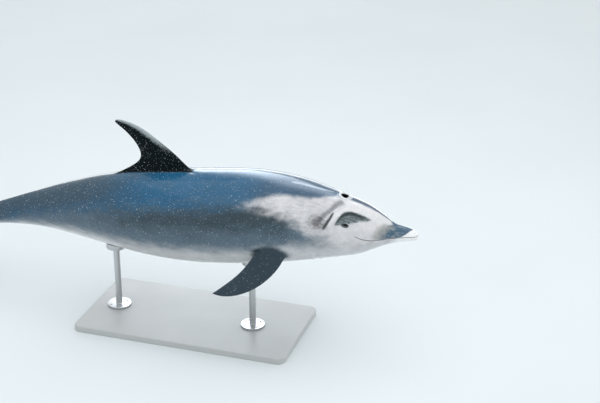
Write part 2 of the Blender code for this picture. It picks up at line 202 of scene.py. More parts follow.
def ontoSkin(points):  # the nearest skin straight out from the centre line
    return np.array([skinPoint(at, np.arctan2(side, high - centre(at))) for at, side, high in points])


def skinNormal(at, angle):
    step = 0.002
    here = skinPoint(at, angle + np.array([-step, 0, step]))
    return unit(np.cross(here[2] - here[0], skinPoint(at - step, angle) - here[1]))


spineAt = np.linspace(-0.05, 2.80, 1141)
spineLean = (arch(spineAt)[1:] + arch(spineAt)[:-1]) / 2
spineForward, spineUp = (np.concatenate([[0], -np.cumsum(way(spineLean) * np.diff(spineAt))])
                         for way in (np.cos, np.sin))
spineForward -= np.interp(0, spineAt, spineForward)
spineUp -= np.interp(0, spineAt, spineUp)


def bent(points):  # straight points to the arched pose
    lean = arch(points[:, 0])
    return np.stack([
        np.interp(points[:, 0], spineAt, spineForward) - points[:, 2] * np.sin(lean),
        points[:, 1],
        np.interp(points[:, 0], spineAt, spineUp) + points[:, 2] * np.cos(lean)], -1)


ridge = bent(np.array([skinPoint(at, 0.0) for at in np.linspace(0.56, 1.00, 45)]))
poseOffset = np.array([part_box("head")[1].x, 0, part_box("trunk_front")[1].z - ridge[:, 2].max()])


def pose(points):  # the arched pose, set where the solids are
    return bent(points) + poseOffset


# The cage of the skin is one half, as rings of rows from the midline of the back to the belly's.
# A row or ring of it is a list of (point, place on the map).
grid = {
    "rowsAbove": 26, "rowsBelow": 18,  # from the midline of the back to the mouth, and on to the belly's
    "ringSteps": table(mm,
        (0, 1.2), (8, 3), (30, 4.5), (300, 5.2), (420, 7), (600, 15.5), (2000, 18.5), (2300, 14)),
    "lipSteps": table(mm, 1.1, 1.2, 1.4, 1.8, 2.6, 3.8, 5.2), "lipShare": 0.42,  # at most, of a ring
    "leaveMouth": (0.30, 0.62), "evenAngles": (1.25, 2.1),  # where rows turn from the mouth's line to even
    "tipStep": 0.008, "tipRings": 9,  # the first rings are at the squares of these steps
    "tailFrom": 2.3, "tailRings": 24,  # where the rings start to sweep back into the flukes
}
rows = grid["rowsAbove"] + grid["rowsBelow"]
cage = {"points": [], "finShares": [], "faces": [], "spots": []}


def addRow(points, spots, finShare=0.0):
    first = len(cage["points"])
    cage["points"] += [list(map(float, point)) for point in points]
    cage["finShares"] += [finShare] * len(points)
    return [(first + k, tuple(spot)) for k, spot in enumerate(spots)]


def spotsOf(row):
    return np.array([spot for _, spot in row])


def onMap(row, spots):  # the same points at other places on the map
    return [(point, tuple(spot)) for (point, _), spot in zip(row, spots)]


def addFace(*corners):  # corners that repeat are dropped, so a quad can close to a triangle
    points = [point for point, _ in corners]
    kept = [i for i in range(len(points)) if points[i] not in points[:i]][::-1]
    if len(kept) > 2:
        cage["faces"].append([points[i] for i in kept])
        cage["spots"].append([corners[i][1] for i in kept])


def joinRows(near, far, closed=False):
    for i in range(len(near) if closed else len(near) - 1):
        j = (i + 1) % len(near)
        addFace(near[i], near[j], far[j], far[i])


def foldShut(row, along, front=False):  # joins the two halves of a row, where a form ends
    upper = row[:len(row) // 2 + 1]
    lower = onMap(row[::-1], spotsOf(upper) + (along, 0))
    joinRows(*((lower, upper) if front else (upper, lower)))


def ringSpread(total, count):  # run from the mouth line to each row: close together at the lips
    lipRuns = grid["lipSteps"] * min(1, grid["lipShare"] * total / grid["lipSteps"].sum())
    rest = np.full(count - len(lipRuns), (total - lipRuns.sum()) / (count - len(lipRuns)))
    return np.concatenate([[0], np.cumsum(np.concatenate([lipRuns, rest]))])


def rowAngles(at):
    dense = np.linspace(0, math.pi, 721)
    ring = skinPoint(at, dense)
    run = runAlong(ring[:, 1], ring[:, 2])
    whole = run[-1]
    mouthRun = max(np.interp(-mouth(min(at, mouthEnd)), -ring[:, 2], run), 0.3 * whole)
    away = softStep(*grid["leaveMouth"], at)
    mouthRun = mix(mouthRun, whole * grid["rowsAbove"] / rows, away)
    above, below = (mix(ringSpread(total, count), np.linspace(0, total, count + 1), away)
                    for total, count in ((mouthRun, grid["rowsAbove"]),
                                         (whole - mouthRun, grid["rowsBelow"])))
    runs = np.concatenate([mouthRun - above[::-1], mouthRun + below[1:]])
    even = softStep(*grid["evenAngles"], at)
    return mix(np.interp(runs, run, dense), np.linspace(0, math.pi, rows + 1), even)


def ringPlaces():
    places = [(k * grid["tipStep"]) ** 2 for k in range(1, grid["tipRings"] + 1)]
    while places[-1] < grid["tailFrom"]:
        places.append(places[-1] + np.interp(places[-1], *grid["ringSteps"].T))
    return np.array(places) + np.linspace(0, 1, len(places)) * (grid["tailFrom"] - places[-1])


places = ringPlaces()
angles = np.array([rowAngles(at) for at in places])
rings = [skinPoint(at, row) for at, row in zip(places, angles)]
for ring in rings:
    ring[[0, -1], 1] = 0.0

# Flukes: the last rings sweep back from the tail stock to the trailing edge.
fluke = {
    "leading": table(mm,  # distance out, distance back
        (0, 2318), (36, 2366), (95, 2438), (165, 2512), (235, 2590), (284, 2649), (307, 2687)),
    "trailing": table(mm,
        (0, 2600), (36, 2622), (95, 2640), (165, 2641), (235, 2649), (284, 2669), (305, 2691)),
    "thick": table(mm, (0, 26), (50, 24), (160, 16), (280, 8), (307, 5)),
    "root": ((2.335, 1.00), (2.365, 1.14)),  # distance back, times the half width of the stock
    "rootTo": 0.050, "reach": 0.307, "lift": 0.018,
    "rootFillet": 3,  # how softly the stock runs out into the blades: the lower, the softer
}
bladeEdge = 0.0012  # thickness of every blade's trailing edge
foilShares = (0.2969, -0.1260, -0.3516, 0.2843, -0.1036)  # of a blade's section, by powers of the chord


def foil(chord):  # half thickness of a blade for each place along its chord, as a share
    powers = (np.sqrt(chord), chord, chord ** 2, chord ** 3, chord ** 4)
    return np.maximum(5 * sum(share * power for share, power in zip(foilShares, powers)), 0)


def tailRings():
    leading, trailing, thick = (smoothCurve(fluke[name]) for name in ("leading", "trailing", "thick"))
    start, reach, soft = grid["tailFrom"], fluke["reach"], fluke["rootFillet"]
    half = rows // 2
    stockSide = rings[-1][half, 1]
    t = rings[-1][:, 1:2] / stockSide
    outs = np.linspace(fluke["rootTo"], reach, 40)
    sideX = np.concatenate([[start, *(x for x, _ in fluke["root"])], leading(outs)])
    sideY = np.concatenate([[stockSide, *(stockSide * times for _, times in fluke["root"])], outs])
    sideRun = runAlong(sideX, sideY)
    edgeY = np.linspace(0, reach - 0.002, 60)
    edgeX = trailing(edgeY)
    edgeX[-1] = sideX[-1] + 0.002
    edgeRun = runAlong(edgeX, edgeY)
    end = np.hstack([np.interp(t, edgeRun / edgeRun[-1], line) for line in (edgeX, edgeY)])
    bow = end - mix(end[0], end[half], t)  # of the trailing edge over a straight one
    made = []
    for u in np.linspace(0, 1, grid["tailRings"] + 1)[1:]:
        inner = np.array([mix(start, trailing(0), u), 0])
        outer = np.array([np.interp(u, sideRun / sideRun[-1], line) for line in (sideX, sideY)])
        ring = []
        for j, (x, y) in enumerate(mix(inner, outer, t) + u * bow):
            chord = np.clip((x - leading(y)) / max(trailing(y) - leading(y), 1e-4), 0, 1)
            blade = thick(y) * foil(chord) + bladeEdge / 2 * chord
            stock = 0.0
            if x < body["tailTo"]:
                width, rise, drop = trunkSizes(x)
                turn = math.asin(min(y / max(width, 1e-6), 1) ** (1 / keel(x)))
                stock = (rise if j < half else drop) * math.cos(turn)
            lift = 0.0 if j == half and u < 1 else (blade ** soft + stock ** soft) ** (1 / soft)
            middle = centre(min(x, 2.5)) + fluke["lift"] * (y / reach) ** 2
            ring.append((x, y, middle + (lift if j <= half else -lift)))
        made.append(np.array(ring))
    return made


rings += tailRings()
print("rings laid:", len(rings), "of", rows + 1, "rows")

mapLayout = {  # where each part of the skin lies on its map
    "body": (0.01, 0.98, 0.26), "blades": (0.03, 0.13),  # start, length and height; low and high edge
    "seam": 0.004, "noseSeam": -0.002, "tailSeam": 0.003,
}


def layRings():
    start, long, high = mapLayout["body"]
    down = 0.5 - mapLayout["seam"] - high * np.linspace(0, 1, rows + 1)
    return [addRow(ring, [(start + long * ring[0, 0] / rings[-1][0, 0], v) for v in down])
            for ring in rings]


skinRows = layRings()
windows = []  # (first ring, last ring, first row, last row) of each


def nearest(values, value):
    return int(np.argmin(np.abs(values - value)))


def openWindow(at, angle, before, behind, above, below):
    # gives the points round it, from midline to midline or in a loop, their positions, the skin's
    # normals there, and the window's middle on the map
    around, reach = angles[nearest(places, at)], reachAt(at, angle)
    first, last = nearest(places, at - before), nearest(places, at + behind)
    high, low = nearest(around, max(angle - above / reach, 0)), nearest(around, angle + below / reach)
    edge = [(first, row) for row in range(high, low + 1)]
    edge += [(ring, low) for ring in range(first + 1, last + 1)]
    edge += [(last, row) for row in range(low - 1, high - 1, -1)]
    edge += [(ring, high) for ring in range(last - 1, first, -1)] if high else []
    chain = [skinRows[ring][row] for ring, row in edge]
    normals = [skinNormal(places[ring], angles[ring][row]) if row else
               skinNormal(places[ring], 1e-4) * (1, 0, 1) for ring, row in edge]
    middle = spotsOf([skinRows[first][high], skinRows[last][low if high else 0]]).mean(0)
    windows.append((first, last, high, low))
    return chain, np.array([cage["points"][i] for i, _ in chain]), np.array(normals), middle


def addLoops(chain, loops, middle, closed):
    # loops: (points, share of the window's map still left, share of fin)
    outer = spotsOf(chain)
    for points, left, *finShare in loops:
        last, chain = chain, addRow(points, mix(middle, outer, left), *finShare)
        joinRows(last, chain, closed)
    return chain


def fillWindow(chain, loops, bottom, middle, closed):
    inner = addLoops(chain, loops, middle, closed)
    joinRows(inner, addRow([bottom], [middle]) * len(inner), closed)


dorsal = {
    "rows": table((1, mm, mm, mm, mm),
        # share of the way to the tip, leading edge, trailing edge: distance back, height
        (0, 1075, -12, 1530, -12), (0.1, 1112, 13, 1452, 14), (0.25, 1165, 70, 1378, 46),
        (0.45, 1242, 142, 1353, 95), (0.65, 1315, 206, 1378, 158), (0.8, 1372, 243, 1410, 203),
        (0.92, 1424, 266.5, 1442, 238), (0.97, 1445, 271.2, 1455.5, 252), (1, 1457, 269.5, 1462, 261)),
    "thick": table((1, mm), (0, 52), (0.1, 44), (0.25, 36), (0.6, 23), (0.9, 11), (1, 5)),
    "from": 0.12, "sections": 15,  # where the blade leaves the fillet at its root
    "window": (1.295, 0, 0.235, 0.250, 0, 0.046),  # place, angle, room before, behind, above and below
    "pull": 0.5, "island": (0.03, 0.22),  # of the fillet's curves; start and length on the map
}
flipper = {
    "rows": table((1, mm, mm, mm, mm),
        # leading and trailing edge: distance back from the shoulder, distance out
        (0, 12, -40, 150, -40), (0.15, 10, 30, 146, 30), (0.35, 21, 110, 152, 100),
        (0.55, 56, 190, 168, 165), (0.75, 114, 262, 196, 230), (0.9, 183, 310, 227, 285),
        (0.97, 227, 323.5, 243, 311.5), (1, 249.4, 325, 250.3, 323.6)),
    "thick": table((1, mm), (0, 40), (0.15, 36), (0.5, 22), (0.9, 10), (1, 5)),
    "from": 0.24, "sections": 14,
    "shoulder": (0.585, 0.150, -0.095),
    "root": (0.078, 0.030), "rootOval": (0.098, 0.052),  # distance back and out; half sizes of its marking
    "reach": (0.35, 0.54, -0.77), "twist": 14,  # degrees that the leading edge is turned down
    "window": (0.092, 0.100, 0.040, 0.040), "pull": 0.42, "island": (0.36, 0.24),
}


def bladeSections(blade, chords, sides, place, thickWay):
    shares = mix(blade["from"], 1.0, 1 - (1 - np.linspace(0, 1, blade["sections"])) ** 1.25)
    edges = [smoothCurve(blade["rows"][:, [0, k]])(shares) for k in (1, 2, 3, 4)]
    sections = []
    for thick, back, out, backTo, outTo in zip(smoothCurve(blade["thick"])(shares), *edges):
        half = sides * (thick * foil(chords) + bladeEdge / 2 * chords)
        middle = place(mix(back, backTo, chords), mix(out, outTo, chords))
        sections.append(middle + np.outer(half, thickWay))
    return shares, sections


def filletLoops(points, ring, nextRing, normals, pull):
    # curves that leave the skin level and arrive in line with the blade
    across = ring - points
    gap = np.linalg.norm(across, axis=1, keepdims=True)
    level = unit(across - (across * normals).sum(1, keepdims=True) * normals)
    first, second = points + level * gap * pull, ring - unit(nextRing - ring) * gap * pull
    return [(1 - t) ** 3 * points + 3 * (1 - t) ** 2 * t * first
            + 3 * (1 - t) * t ** 2 * second + t ** 3 * ring for t in (0.2, 0.4, 0.6, 0.8)]


def relaxed(first, loops, last, rounds=12):  # evens out the folds in a web of closed loops
    layers = np.array([first, *loops, last])
    for _ in range(rounds):
        around = (np.roll(layers, 1, 1) + np.roll(layers, -1, 1)) / 2
        between = (layers[:-2] + layers[2:]) / 2
        layers[1:-1] = mix(layers[1:-1], (around[1:-1] + between) / 2, 0.5)
    return list(layers[1:-1])


def growBlade(blade, edge, shares, sections, turned):
    # from a window's edge over a fillet to the tip; turned: the order of its points on the map
    chain, points, normals, middle = edge
    closed = len(turned) > len(chain)
    loops = filletLoops(points, sections[0], sections[1], normals, blade["pull"])
    if closed:
        loops = relaxed(points, loops, sections[0])
    loops = [(loop, 1 - 0.2 * k, 0.25 * k) for k, loop in enumerate(loops, 1)] + [(sections[0], 0.14, 1.0)]
    made = addLoops(chain, loops, middle, closed)
    start, wide = blade["island"]
    last = None
    for share, section in zip(shares, sections):
        if last:
            made = addRow(section, spotsOf(made), 1.0)
        spots = [(start + wide * (share - shares[0]), v)
                 for v in np.linspace(*mapLayout["blades"], len(turned))]
        row = onMap([made[i] for i in turned], spots)
        if last:
            joinRows(last, row)
        last = row
    return last


def addDorsalFin():
    edge = openWindow(*dorsal["window"])
    count = len(edge[0])
    chords = (1 - np.cos(np.linspace(0, math.pi, count))) / 2
    sides = np.ones(count)
    sides[[0, -1]] = 0

    def place(back, up):
        return np.array([skinPoint(at, 0.0) for at in back]) + np.outer(up, (0, 0, 1))

    shares, sections = bladeSections(dorsal, chords, sides, place, (0, 1, 0))
    last = growBlade(dorsal, edge, shares, sections, range(count))
    spine = addRow(sections[-1][1:-1] * (1, 0, 1), spotsOf(last[1:-1]), 1.0)
    spine = [last[0], *spine, last[-1]]
    joinRows(last, onMap(spine, spotsOf(spine) + (mapLayout["seam"], 0)))


def flipperAxes():
    reach = unit(np.array(flipper["reach"]))
    chord = unit(np.array([1, 0, 0]) - reach * reach[0])
    turn = -flipper["twist"] * degree
    return reach, chord * math.cos(turn) + np.cross(reach, chord) * math.sin(turn)


def addFlipper():
    reach, chord = flipperAxes()

    def place(back, out):
        return flipper["shoulder"] + np.outer(back, chord) + np.outer(out, reach)

    root = place(*flipper["root"])[0]
    angle = np.arctan2(root[1], root[2] - centre(root[0]))
    edge = openWindow(root[0], angle, *flipper["window"])
    count = len(edge[0])
    turn = np.arange(count) / count * 2 * math.pi
    sides = np.where(np.arange(count) < count // 2, 1.0, -1.0)
    sides[[0, count // 2]] = 0
    shares, sections = bladeSections(flipper, (1 - np.cos(turn)) / 2, sides, place, np.cross(chord, reach))
    # the turn of the blade's points that lies nearest the window's
    orders = [(np.arange(count) * flip + shift) % count for flip in (1, -1) for shift in range(count)]
    order = min(orders, key=lambda order: ((sections[0][order] - edge[1]) ** 2).sum())
    seam = int(np.argmin(order))  # the leading edge
    turned = [(seam + k) % count for k in range(count + 1)]
    sections = [section[order] for section in sections]
    foldShut(growBlade(flipper, edge, shares, sections, turned), mapLayout["seam"])


# The opening of the eye, its lids and the socket behind.
eye = {
    "at": 0.320, "height": 0.058, "radius": 0.015, "proud": 0.005,
    "tilt": 8,  # degrees that the front corner is lower than the rear one
    "window": (0.034, 0.034, 0.030, 0.029),
    "loops": table(mm,  # half length, half height, how far it stands over eyeball or skin
        (26.5, 20.5, 0.4), (22, 15.8, 1), (19, 12.8, 1.9), (17.2, 10.8, 1), (15.3, 9, 1.9),
        (13.6, 7.3, 2.1), (12.6, 6.2, 1.4), (12.2, 5.8, 0.4), (13, 7.2, 0.3)),
    "inLid": 0.0135,  # loops longer than this lie over the skin, the others on the eyeball
    "pointed": 0.22, "merge": 8,  # how far the lids close in to their corners; how sharply skin meets lid
    "socket": (0.08, 0.22, 0.38, 0.56, 0.78, 1.0),  # rings behind the eyeball, from the lids to the back
    "socketTo": 165, "socketGap": 0.0020,  # degrees from the gaze to the last; gap round the eyeball
}


def eyeFrame():
    dense = np.linspace(0.3, 2.2, 900)
    angle = np.interp(-eye["height"], -skinPoint(eye["at"], dense)[:, 2], dense)
    surface, gaze = skinPoint(eye["at"], angle), skinNormal(eye["at"], angle)
    middle = np.array([eye["at"], surface[1] - (eye["radius"] - eye["proud"]), eye["height"]])
    forward = unit(np.array([-1, 0, 0]) + gaze * gaze[0])
    up = np.cross(forward, gaze)
    up *= np.sign(up[2])
    cos, sin = math.cos(eye["tilt"] * degree), math.sin(eye["tilt"] * degree)
    return angle, surface, middle, gaze, forward * cos - up * sin, up * cos + forward * sin


eyeAngle, eyeSurface, eyeMiddle, gaze, eyeForward, eyeUp = eyeFrame()


def addEyeSocket():
    chain, points, _, middle = openWindow(eye["at"], eyeAngle, *eye["window"])
    away = points - eyeSurface
    sharp = eye["merge"]
    turn = np.arctan2(away @ eyeUp, away @ eyeForward)

    def lidLoop(long, tall, lift):
        p, q = long * np.cos(turn), tall * np.sin(turn) * (1 - eye["pointed"] * np.cos(turn) ** 2)
        flat = np.outer(p, eyeForward) + np.outer(q, eyeUp)
        level = (ontoSkin(eyeSurface + flat) - eyeMiddle) @ gaze + lift * 0.8
        ball = np.sqrt(np.maximum((eye["radius"] + lift) ** 2 - p * p - q * q, 1e-8))
        high = (level ** sharp + ball ** sharp) ** (1 / sharp) if long > eye["inLid"] else ball
        return eyeMiddle + flat + np.outer(high, gaze)

    loops = [(mix(points, ontoSkin(lidLoop(*eye["loops"][0])), 0.5), 0.86)]
    loops += [(lidLoop(*sizes), 0.75 - 0.5 * k / len(eye["loops"]))
              for k, sizes in enumerate(eye["loops"])]
    shell = eye["radius"] + eye["socketGap"]
    away = loops[-1][0] - eyeMiddle
    out = away - np.outer(away @ gaze, gaze)
    lid = np.arctan2(np.linalg.norm(out, axis=1), away @ gaze)
    for k, share in enumerate(eye["socket"]):
        wide = mix(lid, eye["socketTo"] * degree, share)[:, None]
        ring = eyeMiddle + shell * (np.cos(wide) * gaze + np.sin(wide) * unit(out))
        loops.append((ring, 0.22 - 0.035 * k))
    fillWindow(chain, loops, eyeMiddle - shell * gaze, middle, True)


blowhole = {
    "at": 0.346, "window": (0.034, 0.041, 0, 0.043),
    "front": 0.0140, "rear": 0.0200, "side": 0.0210,  # half sizes of the opening
    "dent": 0.004,  # how far it is drawn back at the midline
    "rings": (  # share of the opening, height over the skin
        (1.75, 0.0004), (1.5, 0.0014), (1.3, 0.0027), (1.13, 0.0026), (1.03, 0.0008), (0.97, -0.003),
        (0.92, -0.008), (0.84, -0.014), (0.68, -0.021), (0.42, -0.027)),
    "bottom": -0.0290,
}


def addBlowhole():
    chain, points, _, middle = openWindow(blowhole["at"], 0, *blowhole["window"])
    top = skinPoint(blowhole["at"], 0.0)
    normal = skinNormal(blowhole["at"], 1e-4) * (1, 0, 1)
    forward = np.array([-normal[2], 0, normal[0]])
    turn = np.arctan2(points[:, 1], (points - top) @ forward)
    ahead = np.where(np.cos(turn) > 0, blowhole["front"], blowhole["rear"])
    loops = []
    for k, (share, height) in enumerate(blowhole["rings"]):
        p = ahead * share * np.cos(turn) - blowhole["dent"] * np.cos(turn) ** 2 * min(share, 1)
        q = blowhole["side"] * share * np.sin(turn)
        ring = ontoSkin(top + np.outer(p, forward) + np.outer(q, (0, 1, 0))) + normal * height
        if k == 0:
            ring = mix(points, ring, 0.6)
        ring[[0, -1], 1] = 0.0
        loops.append((ring, 0.85 - 0.07 * k))
    fillWindow(chain, loops, top + normal * blowhole["bottom"], middle, False)


addDorsalFin()
addFlipper()
addEyeSocket()
addBlowhole()


def addBody():
    for i in range(len(rings) - 1):
        near, far = skinRows[i:i + 2]
        for j in range(rows):
            if not any(first <= i < last and high <= j < low for first, last, high, low in windows):
                addFace(near[j], near[j + 1], far[j + 1], far[j])
    foldShut(skinRows[0], mapLayout["noseSeam"], front=True)
    foldShut(skinRows[-1], mapLayout["tailSeam"])


addBody()
print("cage made:", len(cage["faces"]), "faces on one side")


def writeValues(mesh, name, values):  # a number or a vector for each point
    kind, key = ("FLOAT_VECTOR", "vector") if np.ndim(values) > 1 else ("FLOAT", "value")
    made = mesh.attributes.new(name, kind, "POINT")
    made.data.foreach_set(key, np.asarray(values, np.float32).ravel())


def readValues(source, name, width=3):
    found = np.empty(len(source) * width, np.float32)
    source.foreach_get(name, found)
    return found.reshape(-1, width).astype(float)


def smoothSkin():  # adds the mirrored half, sharing the points on the midline, and rounds the cage
    points, shares = np.array(cage["points"]), np.array(cage["finShares"])
    aside = np.abs(points[:, 1]) >= 1e-6
    points[~aside, 1] = 0
    other = np.arange(len(points))
    other[aside] = len(points) + np.arange(aside.sum())
    faces = cage["faces"] + [other[face[::-1]].tolist() for face in cage["faces"]]
    spots = [spot for corners in cage["spots"] for spot in corners]
    spots += [(u, 1 - v) for corners in cage["spots"] for u, v in corners[::-1]]
    mesh = bpy.data.meshes.new("dolphinSkinCage")
    mesh.from_pydata(np.concatenate([points, points[aside] * (1, -1, 1)]).tolist(), [], faces)
    mesh.uv_layers.new(name="OFBake").data.foreach_set("uv", np.array(spots).ravel())
    writeValues(mesh, "finShare", np.concatenate([shares, shares[aside]]))
    mesh.validate()
    mesh.shade_smooth()
    piece = addObject("dolphinSkinCage", mesh)
    rounding = piece.modifiers.new("rounding", "SUBSURF")
    rounding.levels = rounding.render_levels = 1
    fine = bpy.data.meshes.new_from_object(piece.evaluated_get(bpy.context.evaluated_depsgraph_get()))
    bpy.data.objects.remove(piece)
    fine.name = "dolphinSkin"
    return fine


skinMesh = smoothSkin()
print("skin:", len(skinMesh.polygons), "faces")

# From here on the fine skin is worked point by point, while it is still straight.
straight = readValues(skinMesh.vertices, "co")
finShare = readValues(skinMesh.attributes["finShare"].data, "value", 1)[:, 0]
at, side, height = straight.T
rise = height - centre(np.clip(at, 0, 2.6))
angle = np.arctan2(np.abs(side), rise)  # from straight up, the same on both sides
rightward = np.arctan2(-side, rise)  # from straight up, plus on the right side only
reach = np.hypot(side, rise)
mirrored = np.stack([at, np.abs(side), height], -1)
overMouth = height - mouth(np.clip(at, 0, mouthEnd))
onBody = softStep(0.6, 0.15, finShare)


def alongPath(path, room=0.09, angle=angle):
    # a path is (distance back, angle from the top); gives how far each point of the skin is across
    # it, plus on the belly's side where the path runs forward, and its share of the way along
    steps = np.linspace(0, len(path) - 1, len(path) * 14)
    lineAt, lineAngle = (smoothCurve(list(enumerate(column)))(steps) for column in path.T)
    across, share = np.ones(len(at)), np.zeros(len(at))
    near = np.flatnonzero((at > lineAt.min() - room) & (at < lineAt.max() + room) & (finShare < 0.5))
    backward = at[near, None] - lineAt
    downward = (angle[near, None] - lineAngle) * reach[near, None]
    closest = np.hypot(backward, downward).argmin(1)
    back, down = (way[np.arange(len(near)), closest] for way in (backward, downward))
    turnAt, turnDown = np.gradient(lineAt)[closest], np.gradient(lineAngle)[closest] * reach[near]
    across[near] = (back * turnDown - down * turnAt) / np.hypot(turnAt, turnDown)
    beyond = np.hypot(back, down) - np.abs(across[near])
    share[near] = np.where(beyond > 0.006, 0, closest / (len(steps) - 1))
    return across, share


def taper(share, ends=0.3):  # grows from nothing at each end of a path
    return softStep(0, ends, share) * softStep(0, ends, 1 - share)


def bell(value):
    return np.exp(-value ** 2)


folds = {  # path in millimetres and degrees, then the section across it: (distance across, height)
    "brow": (  # a ridge over the eye, with a hollow below it
        ((376, 70), (362, 60), (345, 49), (333, 41), (318, 36.5), (296, 33.5), (270, 32.5), (242, 33.5),
         (215, 35), (190, 39)),
        ((-50, 0), (-22, 0.8), (-8, 2.4), (-1, 1.2), (4, -3.4), (9, -5.6), (17, -4.4), (27, -1.6),
         (36, 0.6), (60, 0))),
    "cheek": (  # a soft ridge from the corner of the mouth up to the root of the beak
        ((345, 84), (300, 74), (250, 66), (200, 60), (150, 58)),
        ((-22, 0), (-8, 1), (0, 2), (8, 1), (22, 0))),
    "neckFront": (
        ((372, 38), (378, 45), (386, 52), (397, 61), (411, 71), (424, 81)),
        ((-30, 0), (-14, 2.6), (-6, 0.8), (0, -3.6), (6, 0.6), (13, 2.2), (28, 0))),
    "neckRear": (
        ((348, 15), (362, 23), (377, 32), (394, 42), (416, 52), (436, 63), (456, 74)),
        ((-34, 0), (-16, 1.2), (-6, -1.8), (0, -3.4), (9, -1.6), (22, 1.2), (45, 0))),
    "throat": (  # where the throat meets the chest
        ((440, 112), (462, 132), (472, 156), (474, 180)),
        ((-30, 0), (-12, 0.6), (0, -2.2), (12, 0.8), (30, 0))),
    "navel": (((1150, 180), (1180, 179.9), (1205, 180)), ((-20, 0), (0, -4), (20, 0))),
    "slit": (((1590, 180), (1660, 179.9), (1730, 180)),
             ((-14, 0), (-7, 1.6), (0, -6), (7, 1.6), (14, 0))),
    "vent": (((1780, 180), (1800, 179.9), (1822, 180)), ((-14, 0), (0, -5), (14, 0))),
}
lips = {
    # the line of the mouth and a roll on each side of it: place over it, height, half width
    "section": table(mm, (0, -3.6, 1.6), (6, 1.3, 3.4), (-6, 1, 3.4)),
    "fade": (0.290, 0.262),  # where the line fades out behind
    "underbite": 0.0045,  # how far the lower jaw stands out in front
}
unevenness = ((7.0, 0.0009), (19.0, 0.0004), (46.0, 0.00014))  # waves per metre and their height
nearEyeball = (0.016, 0.030)  # where nothing is sculpted, from the eyeball's middle, and where all is


def sculpt():
    lift = np.zeros(len(at))
    for path, section in folds.values():
        section = table(mm, *section)
        across, share = alongPath(table((mm, degree), *path))
        first, last = section[0][0], section[-1][0]
        inside = (across > first) & (across < last)
        lift += smoothCurve(section)(np.clip(across, first, last)) * inside * taper(share)
    for place, tall, wide in lips["section"]:
        lift += tall * bell((overMouth - place) / wide) * softStep(*lips["fade"], at)
    lift *= onBody
    for scale, tall in unevenness:
        waves = [noise.noise(Vector(point) * scale) for point in straight]
        lift += np.array(waves) * tall * (1 - 0.8 * softStep(0, 1, finShare)) * softStep(0, 0.2, at)
    lift *= softStep(*nearEyeball, np.linalg.norm(mirrored - eyeMiddle, axis=1))
    shaped = straight + readValues(skinMesh.vertex_normals, "vector") * lift[:, None]
    shaped[:, 0] += lips["underbite"] * softStep(0, 0.003, overMouth) * softStep(0.05, 0, at)
    return shaped


shaped = sculpt()
print("folds sculpted")

lines = {name: table((mm, degree), *path) for name, path in {
    "cape": (
        (330, 2), (350, 7), (382, 10), (409, 17), (449, 24), (489, 29), (531, 32), (577, 33), (641, 36),
        (696, 41), (739, 47), (800, 52), (1000, 57), (1300, 62), (1700, 68), (2000, 80), (2200, 120),
        (2300, 180)),
    "lightFrom": (
        (30, 60), (100, 30), (130, 6), (160, 4), (240, 7), (330, 8), (382, 10), (409, 17), (449, 24),
        (489, 29), (531, 32), (577, 33), (641, 36), (696, 41), (739, 46), (860, 54)),
    "lightTo": (
        (0, 104), (200, 108), (340, 110), (420, 100), (470, 88), (520, 74), (584, 64), (630, 60), (676, 56),
        (723, 52), (790, 49), (860, 46)),
    "belly": ((0, 93), (200, 96), (400, 104), (800, 113), (1200, 117), (1700, 124), (2000, 145),
              (2200, 175)),
    "flankTo": ((450, 84), (900, 86), (1600, 92), (2300, 120)),
    # the leaf over the eye: partly a dark eye patch, partly painted shade and a greenish painted reflection
    # in the hollow under the brow
    "leafFrom": (
        (196, 36), (215, 33.5), (243, 32), (271, 31), (298, 32), (320, 35), (337, 41), (348, 49), (365, 62),
        (376, 72)),
    "leafTo": ((196, 35), (216, 38), (249, 46), (283, 52), (308, 58), (334, 62), (360, 65), (376, 70)),
    # a painted shadow line under the brow ridge
    "browRimShadow": (
        (372, 69), (358, 58), (344, 48.5), (332, 41.5), (317, 38), (296, 35.5), (270, 35), (243, 35.5),
        (215, 36)),
    "stripe": ((334, 0), (300, 0), (262, 0), (220, 0), (180, 0), (136, 0)),
    # a painted highlight line and a painted sheen band along the nape, standing in for light on the wet
    # back
    "paintedNapeHighlight": ((380, 1), (420, 3.5), (464, 6), (508, 7.5), (552, 8.5), (610, 10)),
    "paintedNapeSheen": ((560, 4), (644, 7), (735, 9), (831, 10), (930, 10), (1060, 8)),
    # painted shade in the hollows of the neck's folds
    "foldStrokeShade": ((374, 40), (380, 46), (387, 53), (397, 61), (411, 71), (420, 77)),
    "foldBandShade": ((340, 12), (350, 17), (363, 24), (377, 32), (394, 42), (416, 52), (436, 62), (452, 72)),
    # ridgeFront and ridgeRear carry a painted highlight along the tops of the neck's ridges
    "ridgeFront": ((310, 24), (324, 29), (338, 35), (357, 43.5), (376, 54), (392, 64), (404, 72)),
    "ridgeRear": ((360, 30), (374, 38), (391, 46), (411, 57), (430, 69), (440, 76)),
    "eyeStripe": ((338, 76), (390, 86), (450, 96), (510, 104), (560, 110)),
}.items()}
strokes = {  # half widths in millimetres, shared out along the line, and how much of it fades at each end
    "paintedNapeHighlight": ((5, 7, 8, 8), 0.15), "paintedNapeSheen": ((20, 30, 26, 16), 0.4),
    "eyeStripe": ((8, 16, 22, 26), 0.4), "stripe": ((14, 16, 14, 12, 8, 4), 0.04),
    "browRimShadow": ((4, 7, 10, 8, 4), 0.2), "foldBandShade": ((18, 21, 15, 11, 12, 13, 12), 0.25),
    "foldStrokeShade": ((3, 6, 7.5, 7), 0.2), "ridgeFront": ((6, 9, 9, 7), 0.2), "ridgeRear": ((4, 6, 6), 0.2),
}
onRight = ("paintedNapeHighlight", "paintedNapeSheen")  # the strokes that only the right side has: a painted highlight line and a painted sheen along the nape
